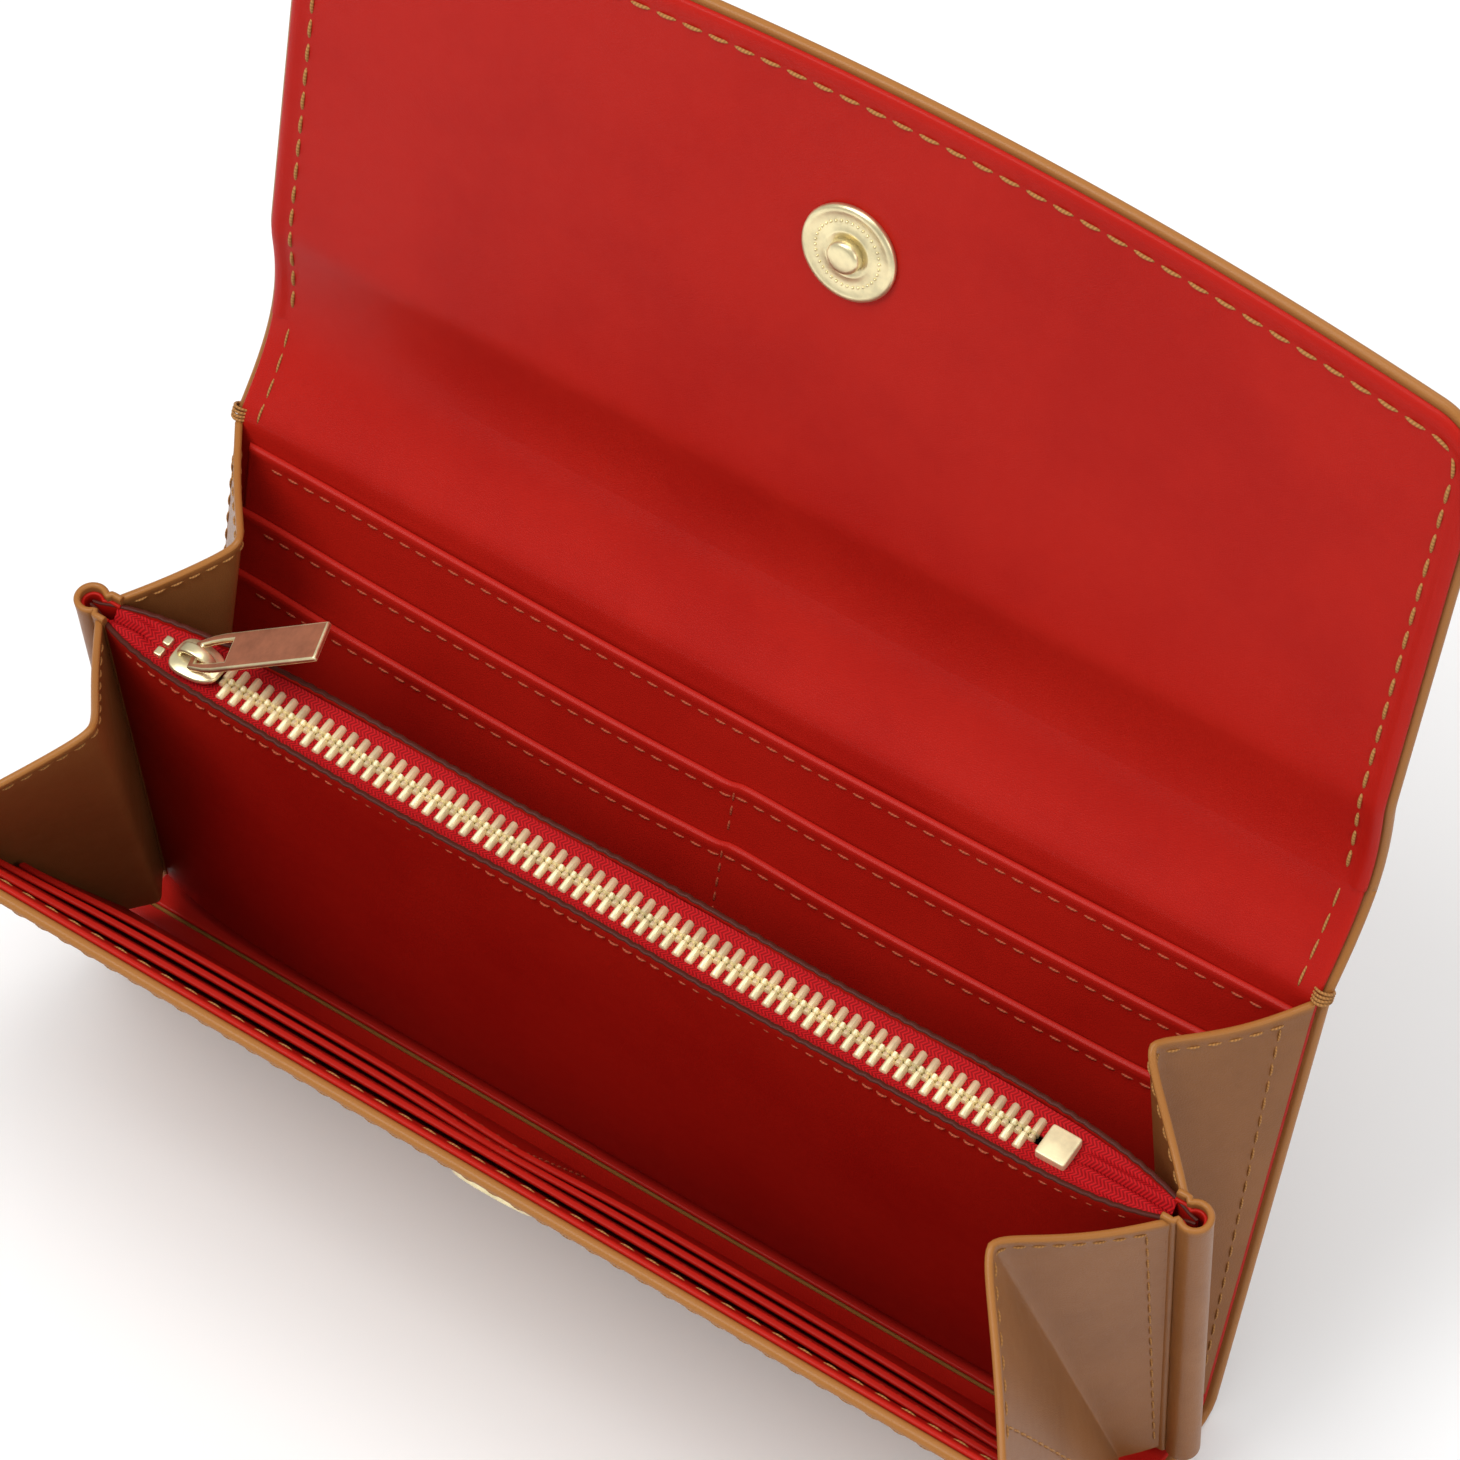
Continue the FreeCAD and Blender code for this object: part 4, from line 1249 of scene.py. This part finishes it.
def tooth_parts(side, start, count, pitch):
    """Row of teeth. Each is a bar of eight sides carried across the chain through seven rings whose width and
    height follow a list of shares."""
    across = np.array([-0.85, -0.70, -0.10, 0.20, 0.42, 2.75, 2.95]) * MM
    wide = np.array([0.40, 0.80, 0.80, 0.45, 0.98, 0.98, 0.70])
    angle = np.arange(TOOTH_SIDES) * math.pi / 4 + math.pi / 8
    ring_x = np.cos(angle) * 0.72 * MM
    ring_up = np.sin(angle) * 1.20 * MM
    x = start + np.arange(count)[:, None, None] * pitch + wide[None, :, None] * ring_x[None, None, :]
    up = CHAIN_UP + (0.35 + 0.65 * wide)[None, :, None] * ring_up[None, None, :]
    back = side * across[None, :, None]
    x, back, up = np.broadcast_arrays(x, back, up)
    points = POCKET.at(x, back, up)
    index = np.arange(len(wide) * TOOTH_SIDES).reshape(len(wide), TOOTH_SIDES)
    onward = np.roll(index, -1, axis=1)
    quads = np.stack([index[:-1], index[1:], onward[1:], onward[:-1]], axis=-1).reshape(-1, 4)
    caps = [index[0], index[-1][::-1]]
    if side < 0:
        quads = quads[:, ::-1]
        caps = [cap[::-1] for cap in caps]
    return points, repeated(count, index.size, quads, caps), None, None


def squared(wave, power):
    """A sine or cosine drawn towards a square wave by a power under 1, for superellipses."""
    return np.sign(wave) * np.abs(wave) ** power


def rounded_block(low, high, radius, power=0.35):
    """Block with rounded sides on a wall's axes: a superellipse plan carried through a rounded profile."""
    centre = (np.asarray(low) + np.asarray(high)) / 2
    half = (np.asarray(high) - np.asarray(low)) / 2
    angle = (np.arange(32) + 0.5) * 2 * math.pi / 32
    plan_x = squared(np.cos(angle), power)
    plan_y = squared(np.sin(angle), power)
    bend = np.linspace(0, math.pi / 2, 5)
    inset = np.r_[radius * (1 - np.sin(bend)), radius * (1 - np.cos(bend))]
    rise = np.r_[-half[2] + radius * (1 - np.cos(bend)), half[2] - radius * (1 - np.sin(bend))]
    x = centre[0] + (half[0] - inset)[:, None] * plan_x
    back = centre[1] + (half[1] - inset)[:, None] * plan_y
    up = centre[2] + np.broadcast_to(rise[:, None], x.shape)
    return ring_part(POCKET.at(x, back, up))


def ring_part(points):
    """Part made of closed rings of points, one above the other, capped at both ends."""
    rows, cols = points.shape[:2]
    index = np.arange(rows * cols).reshape(rows, cols)
    onward = np.roll(index, -1, axis=1)
    quads = np.stack([index[:-1], onward[:-1], onward[1:], index[1:]], axis=-1).reshape(-1, 4)
    middle = points.reshape(-1, 3).mean(axis=0)
    first = points.reshape(-1, 3)[quads]
    normal = np.cross(first[:, 1] - first[:, 0], first[:, 3] - first[:, 0])
    caps = [index[0][::-1], index[-1]]
    if np.sum(normal * (first.mean(axis=1) - middle)) < 0:
        quads = quads[:, ::-1]
        caps = [cap[::-1] for cap in caps]
    return points, [quads, np.stack(caps)], None, None


class WALLET_OT_zip(bpy.types.Operator):
    """Tapes, teeth, stops and end box."""

    bl_idname = "wallet.zip"
    bl_label = "Zip"

    def execute(self, context):
        pitch = sizes().tooth_pitch
        count = int((CHAIN_END - CHAIN_START) / pitch)
        for word, side, shift in (("back", 1.0, 0.0), ("front", -1.0, pitch / 2)):
            tape = self.tape("zip_tape_" + word + "_weave", side)
            attach(tape, "zip_pocket", ("zip_tape_" + word,))
            row = tooth_parts(side, CHAIN_START + shift, count - (side < 0), pitch)
            teeth = join_parts("zip_teeth_" + word + "_row", [row], "teeth", SHARP)
            attach(teeth, "zip_pocket", ("zip_teeth_" + word,))
        low = (71.2 * MM, -2.6 * MM, 67.4 * MM)
        high = (76.0 * MM, 2.6 * MM, 70.8 * MM)
        box = rounded_block(low, high, 0.25 * MM, 0.14)
        shell = join_parts("zip_end_box_shell", [box], "teeth", SHARP)
        attach(shell, "zip_pocket", ("zip_end_box",))
        stops = [self.stop(side * 1.1 * MM) for side in (1.0, -1.0)]
        pair = join_parts("zip_top_stop_pair", stops, "gold", SHARP)
        attach(pair, "zip_pocket", ("zip_top_stops",))
        return {"FINISHED"}

    def stop(self, back):
        """One top stop at a distance from the chain's middle."""
        low = (-83.2 * MM, back - 0.8 * MM, 67.9 * MM)
        high = (-81.8 * MM, back + 0.8 * MM, 70.0 * MM)
        return rounded_block(low, high, 0.25 * MM)

    def tape(self, name, side):
        """Half of the tape, curling up to the pocket wall: grid of x and a share across from the teeth."""
        across = np.linspace(-92.0, 92.0, 260) * MM
        share = np.linspace(0.0, 1.0, 14)
        x, t = np.meshgrid(across, share, indexing="ij")
        reach = mouth(x) - 0.03 * MM
        closing = np.clip(np.maximum(x - 73.0 * MM, -78.0 * MM - x) / (3.0 * MM), 0.0, 1.0)
        beyond = np.clip(np.maximum(x - 76.0 * MM, -84.0 * MM - x) / (3.0 * MM), 0.0, 1.0)
        tail = beyond ** 2 * (3 - 2 * beyond)
        near = np.minimum(0.75 * MM * (1 - closing) + 0.02 * MM, reach * 0.4)
        back = near + t * (reach - near)
        roll = ridge(back, 0.9 * MM, 0.9 * MM) * np.clip(reach / (2.5 * MM), 0.0, 1.0)
        up = CHAIN_UP - 0.1 * MM + 1.1 * MM * t ** 2 + 0.05 * MM * np.sin(x * 2 * math.pi / (9 * MM)) * t
        up = up + tail * roll * 1.5 * MM
        half = 0.22 * MM
        inner = POCKET.at(x, side * back, up - half)
        outer = POCKET.at(x, side * back, up + half)
        return sheet_solid(name, inner, outer, "tape", np.zeros_like(x), np.stack([x, back], axis=-1))


def arch_part(x_low, x_high, foot, rise, width, thick):
    """Bridge on the slider: a flat bar of rounded section carried along half an ellipse."""
    turn = np.linspace(math.pi, 0.0, 25)
    centre_x = (x_low + x_high) / 2
    reach = (x_high - x_low) / 2
    line = np.stack([centre_x + reach * np.cos(turn), foot + rise * np.sin(turn) ** 0.7], axis=1)
    tangent = np.gradient(line, axis=0)
    tangent /= np.linalg.norm(tangent, axis=1, keepdims=True)
    out = np.stack([-tangent[:, 1], tangent[:, 0]], axis=1)
    angle = np.arange(16) * 2 * math.pi / 16
    side = squared(np.cos(angle), 0.5) * width / 2
    lift = squared(np.sin(angle), 0.5) * thick / 2
    x = line[:, 0][:, None] + out[:, 0][:, None] * lift
    up = line[:, 1][:, None] + out[:, 1][:, None] * lift
    back = np.broadcast_to(side, x.shape)
    return ring_part(POCKET.at(x, back, up))


def slider_plate(low, high, dome):
    """Plate of the slider: a plan that is round at the head and narrows to the tail, carried up through a
    rounded edge, with a domed top."""
    angle = np.arange(48) * 2 * math.pi / 48
    length = 4.2 * MM
    plan_x = squared(np.cos(angle), 0.8) * length
    width = (3.7 - 0.95 * (1 + np.cos(angle)) / 2) * MM
    plan_y = squared(np.sin(angle), 0.62) * width
    bend = np.linspace(0, math.pi / 2, 6)
    radius = (high - low) / 2 * 0.9
    inset = radius / length
    shares = np.r_[0.45, 0.80, 1 - inset * (1 - np.sin(bend)), 1 - inset * (1 - np.cos(bend[1:])), 0.80, 0.45]
    rises = np.r_[low, low, low + radius * (1 - np.cos(bend)), high - radius * (1 - np.sin(bend[1:])),
                  high + dome * 0.55, high + dome]
    x = PIN_X + shares[:, None] * plan_x
    back = shares[:, None] * plan_y
    up = np.broadcast_to(rises[:, None], x.shape)
    return ring_part(POCKET.at(x, back, up))


class WALLET_OT_slider(bpy.types.Operator):
    """Slider body with its bridge, and the pull tab."""

    bl_idname = "wallet.slider"
    bl_label = "Slider and tab"

    def execute(self, context):
        roof = 70.1 * MM
        web_low = (PIN_X - 3.8 * MM, -0.25 * MM, 67.4 * MM)
        web_high = (PIN_X - 2.4 * MM, 0.25 * MM, 70.4 * MM)
        parts = [
            slider_plate(roof, roof + 1.0 * MM, 0.35 * MM),
            slider_plate(66.7 * MM, 67.6 * MM, 0.0),
            rounded_block(web_low, web_high, 0.05 * MM),
            arch_part(PIN_X - 2.9 * MM, PIN_X + 2.7 * MM, roof + 0.7 * MM, 2.9 * MM, 1.9 * MM, 0.85 * MM),
        ]
        slider = join_parts("zip_slider_body", parts, "gold")
        attach(slider, "zip_slider", ("zip_slider", "zip_slider_pin"))
        attach(self.tab(), "zip_pull_tab", ("zip_pull_tab",))
        return {"FINISHED"}

    def tab(self):
        """Pull tab: a flat grid with a window left out of it, thickened, its near end drawn in.

        The tab's own axes are along its length, across and up, and its hinge axis runs across."""
        length, width, thick = 24.5 * MM, 6.8 * MM, 1.0 * MM
        window = (0.75 * MM, 6.6 * MM, 2.0 * MM)
        a = np.array([-0.75, window[0] / MM, 2.6, 4.6, window[1] / MM, 9.0, 14.0, 19.0, length / MM]) * MM
        b = np.array([-width / 2, -window[2], 0.0, window[2], width / 2])
        p, q = np.meshgrid(a, b, indexing="ij")
        narrow = np.clip((p + 0.75 * MM) / (4.2 * MM), 0, 1)
        q = q * np.where(np.abs(q) > window[2] * 1.01, 0.70 + 0.30 * narrow, 0.72 + 0.28 * narrow)
        across = np.array(JOINTS["tab_swing"]["axis"])
        up = self.tab_up(across)
        along = np.cross(up, across)
        if along[0] < 0:
            along = -along
        points = (np.array(JOINTS["tab_swing"]["pos_m"]) + p[..., None] * along + q[..., None] * across
                  - up * thick / 2)
        index = np.arange(p.size).reshape(p.shape)
        quads = np.stack([index[:-1, :-1], index[1:, :-1], index[1:, 1:], index[:-1, 1:]], axis=-1)
        keep = np.ones(quads.shape[:2], bool)
        keep[1:4, 1:3] = False
        faces = quads[keep]
        corner = points.reshape(-1, 3)[faces[0]]
        if np.dot(np.cross(corner[1] - corner[0], corner[2] - corner[0]), up) > 0:
            faces = faces[:, ::-1]
        obj = new_object("zip_pull_tab_plate", points, faces.tolist(), "tab")
        solid = obj.modifiers.new("thickness", "SOLIDIFY")
        solid.thickness = thick
        solid.offset = -1.0
        bevel = obj.modifiers.new("edges", "BEVEL")
        bevel.width = 0.32 * MM
        bevel.segments = 3
        bevel.limit_method = "ANGLE"
        obj.data.materials.append(PAINTS["gold"])
        bevel.material = 1
        return obj

    def tab_up(self, across):
        """Direction square to the tab's plate, at its lift at rest."""
        lift = math.radians(TAB_LIFT)
        wall_up = POCKET.direction(0.0, 0.0, 1.0)
        flat_along = np.cross(wall_up, across)
        if flat_along[0] < 0:
            flat_along = -flat_along
        return wall_up * math.cos(lift) - flat_along * math.sin(lift)


# ---------------------------------------------------------------- snap


def turned_part(profile, wall, x, up, away):
    """Surface of revolution on a wall: (radius, height) pairs carried round an axis square to it.

    away is 1 when heights run to the back and -1 when they run to the front."""
    angle = np.arange(64) * 2 * math.pi / 64
    radius = np.asarray(profile)[:, 0:1] * MM
    height = np.broadcast_to(np.asarray(profile)[:, 1:2] * MM, (len(profile), 64))
    return ring_part(wall.at(x + radius * np.cos(angle), away * height, up + radius * np.sin(angle)))


def bead_ring(count, ring_radius, bead, wall, up, height, away):
    """Small domes in a ring. Each dome is three rings of six points that close in a quarter circle."""
    around = np.arange(count)[:, None, None] * 2 * math.pi / count
    rise = np.linspace(0.0, 0.46 * math.pi, 3)[None, :, None]
    turn = np.arange(6)[None, None, :] * math.pi / 3
    x = ring_radius * np.cos(around) + bead * np.cos(rise) * np.cos(turn)
    level = up + ring_radius * np.sin(around) + bead * np.cos(rise) * np.sin(turn)
    out = away * (height + bead * np.sin(rise))
    x, out, level = np.broadcast_arrays(x, out, level)
    domes = wall.at(x, out, level)
    return [ring_part(dome) for dome in domes]


class WALLET_OT_snap(bpy.types.Operator):
    """Magnetic snap: disc and stud on the flap, socket on the front."""

    bl_idname = "wallet.snap"
    bl_label = "Snap"

    def execute(self, context):
        disc = [(0.2, -0.2), (6.9, -0.2), (7.4, 0.1), (7.5, 0.5), (7.4, 0.85), (7.0, 1.08), (6.5, 1.1),
                (6.3, 1.0), (3.9, 1.0), (3.7, 1.1), (3.3, 1.12), (3.1, 1.0), (0.2, 1.0)]
        parts = [turned_part(disc, FLAP, 0.0, SNAP_UP, -1.0)]
        parts += bead_ring(sizes().snap_beads, 5.1 * MM, 0.26 * MM, FLAP, SNAP_UP, 0.96 * MM, -1.0)
        attach(join_parts("snap_disc_plate", parts, "gold"), "flap", ("snap_disc",))
        stud = [(2.6, 0.9), (2.55, 1.9), (2.45, 2.3), (2.2, 2.55), (1.8, 2.68), (1.1, 2.74), (0.1, 2.75)]
        attach(join_parts("snap_stud_button", [turned_part(stud, FLAP, 0.0, SNAP_UP, -1.0)], "gold"), "flap",
               ("snap_stud",))
        self.socket()
        return {"FINISHED"}

    def socket(self):
        """Socket on the front's outer face: a rounded ring with a bore."""
        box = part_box("snap_socket")
        centre = np.array([(box[0][i] + box[1][i]) / 2 for i in (1, 2)])
        up = float((centre - FRONT.foot) @ FRONT.up)
        ring = [(0.2, 2.3), (7.0, 2.3), (7.45, 2.7), (7.5, 3.6), (7.3, 4.4), (6.8, 4.85), (6.2, 5.0),
                (4.4, 5.0), (3.8, 4.85), (3.52, 4.4), (3.5, 3.1), (3.3, 3.0), (0.2, 3.0)]
        attach(join_parts("snap_socket_ring", [turned_part(ring, FRONT, 0.0, up, -1.0)], "gold"), "front",
               ("snap_socket", "snap_magnet"))


# ---------------------------------------------------------------- seams


class WALLET_OT_seams(bpy.types.Operator):
    """Tan stitching round the covers."""

    bl_idname = "wallet.seams"
    bl_label = "Seams"

    def execute(self, context):
        self.front_seams()
        self.back_seams()
        self.flap_seams()
        return {"FINISHED"}

    def run(self, path, x, s, face, heavy=True):
        """One run of stitches on the outer (1) or inner (-1) face of the covers."""
        size = sizes()
        depth = WALL if face > 0 else LINING_FACE
        radius = size.thread if heavy else size.fine_thread
        return profile_run(path, x, s, depth, face, size.stitch, size.gap, radius)

    def front_seams(self):
        """Along the rim on both faces, and down both sides outside."""
        inset = sizes().inset
        x = np.linspace(-HALF + 3 * MM, HALF - 3 * MM, 300)
        rim = S_RIM - inset
        runs = [self.run(FRONT_PATH, x, rim, face) for face in (1.0, -1.0)]
        s = np.linspace(S_FRONT_FOOT * 0.6, rim, 120)
        for side in (-1.0, 1.0):
            runs.append(self.run(FRONT_PATH, side * (HALF - inset), s, 1.0))
        attach(join_parts("front_seam_threads", runs, "thread_tan"), "front")

    def back_seams(self):
        """Down both sides of the back outside, and along the lower spine on both faces."""
        inset = sizes().inset
        runs = []
        outside = np.linspace(S_CORNER + 3 * MM, S_SPINE_MID - 0.5 * MM, 200)
        inside = np.linspace(S_BACK_TOP - 1 * MM, S_SPINE_MID - 0.5 * MM, 60)
        for side in (-1.0, 1.0):
            x = side * (HALF - inset)
            runs.append(self.run(BACK_PATH, x, outside, 1.0))
            runs.append(self.run(BACK_PATH, x, inside, -1.0, False))
        threads = join_parts("back_seam_threads", runs, "thread_tan")
        start, end = crease_span(S_BACK_TOP)
        attach_bent(threads, "base_and_back", "spine", start, end, "tan_leather")

    def flap_seams(self):
        """Round the flap on both faces."""
        line = flap_outline(sizes().inset, S_SPINE_MID + 0.5 * MM)
        runs = [self.run(BACK_PATH, line[:, 0], line[:, 1], face) for face in (1.0, -1.0)]
        threads = join_parts("flap_seam_threads", runs, "thread_tan")
        start, end = crease_span(S_SPINE_END)
        attach_bent(threads, "spine", "flap", start, end, "tan_leather")


# ---------------------------------------------------------------- frame nodes and stage


SLOT_PAINTS = {"tan_leather": "tan", "red_leather": "red", "zip_tape": "tape", "gold_metal": "gold",
               "magnet_steel": "steel", "stiffener_board": "board"}


class WALLET_OT_frame_finish(bpy.types.Operator):
    """Give every frame node that still shows its material."""

    bl_idname = "wallet.frame_finish"
    bl_label = "Frame finish"

    def execute(self, context):
        slots = {part["node"]: part["material_slot"] for part in frame["record"]["subparts"]}
        for name, obj in frame["nodes"].items():
            for slot in obj.material_slots:
                slot.material = PAINTS[SLOT_PAINTS[slots[name]]]
        return {"FINISHED"}


CAMERA = {"target": (0.083, -0.116, 0.280), "azimuth": 32.1, "elevation": 50.9, "roll": 2.6,
          "distance": 0.540, "lens": 135.1}

# Name, place, size and watts of each lamp
LAMPS = (("key", (-0.45, -0.70, 1.25), 0.9, 12.0), ("fill", (1.1, -0.3, 0.7), 0.7, 2.5),
         ("back", (0.2, 0.9, 0.9), 0.8, 3.0), ("top", (0.1, -0.1, 1.4), 0.8, 5.0))


class WALLET_OT_stage(bpy.types.Operator):
    """Floor, lights and camera."""

    bl_idname = "wallet.stage"
    bl_label = "Stage"

    def execute(self, context):
        mesh = bpy.data.meshes.new("floor")
        reach = 6.0
        corners = [(-reach, -reach, 0.0), (reach, -reach, 0.0), (reach, reach, 0.0), (-reach, reach, 0.0)]
        mesh.from_pydata(corners, [], [(0, 1, 2, 3)])
        mesh.materials.append(floor_paint("pale_floor"))
        floor = bpy.data.objects.new("floor", mesh)
        floor.location.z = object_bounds()[0][2]
        bpy.context.collection.objects.link(floor)
        floor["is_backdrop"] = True
        self.lamps()
        self.world()
        self.camera()
        return {"FINISHED"}

    def lamps(self):
        """Four soft panels: from the upper left, from the front right, from behind and from above."""
        for name, place, size, power in LAMPS:
            light = bpy.data.lights.new(name, "AREA")
            light.shape = "DISK"
            light.size = size
            light.energy = power
            lamp = bpy.data.objects.new(name, light)
            lamp.location = place
            aim = Vector((0.0, -0.01, 0.08)) - Vector(place)
            lamp.rotation_euler = aim.to_track_quat("-Z", "Y").to_euler()
            bpy.context.collection.objects.link(lamp)

    def world(self):
        """Even pale surroundings, with colours shown straight."""
        world = bpy.data.worlds.new("studio")
        world.use_nodes = True
        background = world.node_tree.nodes["Background"]
        background.inputs["Color"].default_value = (1.0, 1.0, 1.0, 1.0)
        background.inputs["Strength"].default_value = 0.45
        bpy.context.scene.world = world
        bpy.context.scene.view_settings.view_transform = "Standard"

    def camera(self):
        """Camera on a sphere round its target, turned about its own axis by the roll."""
        azimuth, elevation, roll = (math.radians(CAMERA[k]) for k in ("azimuth", "elevation", "roll"))
        back = Vector((math.sin(azimuth) * math.cos(elevation), -math.cos(azimuth) * math.cos(elevation),
                       math.sin(elevation)))
        right = (-back).cross(Vector((0, 0, 1))).normalized()
        up = right.cross(-back)
        turned_right = right * math.cos(roll) + up * math.sin(roll)
        turned_up = up * math.cos(roll) - right * math.sin(roll)
        place = Vector(CAMERA["target"]) + back * CAMERA["distance"]
        data = bpy.data.cameras.new("camera")
        data.sensor_width = 36.0
        data.lens = CAMERA["lens"]
        data.clip_start = 0.01
        data.clip_end = 50.0
        camera = bpy.data.objects.new("camera", data)
        columns = Matrix((turned_right, turned_up, back)).transposed()
        camera.matrix_world = Matrix.Translation(place) @ columns.to_4x4()
        bpy.context.collection.objects.link(camera)
        bpy.context.scene.camera = camera


# ---------------------------------------------------------------- add-on


OPERATORS = (WALLET_OT_back, WALLET_OT_flap, WALLET_OT_front, WALLET_OT_pockets, WALLET_OT_gussets,
             WALLET_OT_zip_pocket, WALLET_OT_zip, WALLET_OT_slider, WALLET_OT_snap, WALLET_OT_seams,
             WALLET_OT_frame_finish, WALLET_OT_stage)


class WALLET_PT_panel(bpy.types.Panel):
    """Sidebar list of the wallet's pieces."""

    bl_label = "Long wallet"
    bl_idname = "WALLET_PT_panel"
    bl_space_type = "VIEW_3D"
    bl_region_type = "UI"
    bl_category = "Wallet"

    def draw(self, context):
        for operator in OPERATORS:
            self.layout.operator(operator.bl_idname)
        for name in WalletSizes.__annotations__:
            self.layout.prop(context.scene.wallet_sizes, name)
        for name in WalletColours.__annotations__:
            self.layout.prop(context.scene.wallet_colours, name)


CLASSES = (WalletSizes, WalletColours) + OPERATORS + (WALLET_PT_panel,)


def register():
    """Register the classes and the scene's settings."""
    for item in CLASSES:
        bpy.utils.register_class(item)
    bpy.types.Scene.wallet_sizes = PointerProperty(type=WalletSizes)
    bpy.types.Scene.wallet_colours = PointerProperty(type=WalletColours)


def unregister():
    """Remove them again."""
    del bpy.types.Scene.wallet_colours
    del bpy.types.Scene.wallet_sizes
    for item in reversed(CLASSES):
        bpy.utils.unregister_class(item)


def main():
    register()
    make_paints()
    for operator in OPERATORS:
        getattr(bpy.ops.wallet, operator.bl_idname.split(".")[1])()


if __name__ == "__main__":
    main()
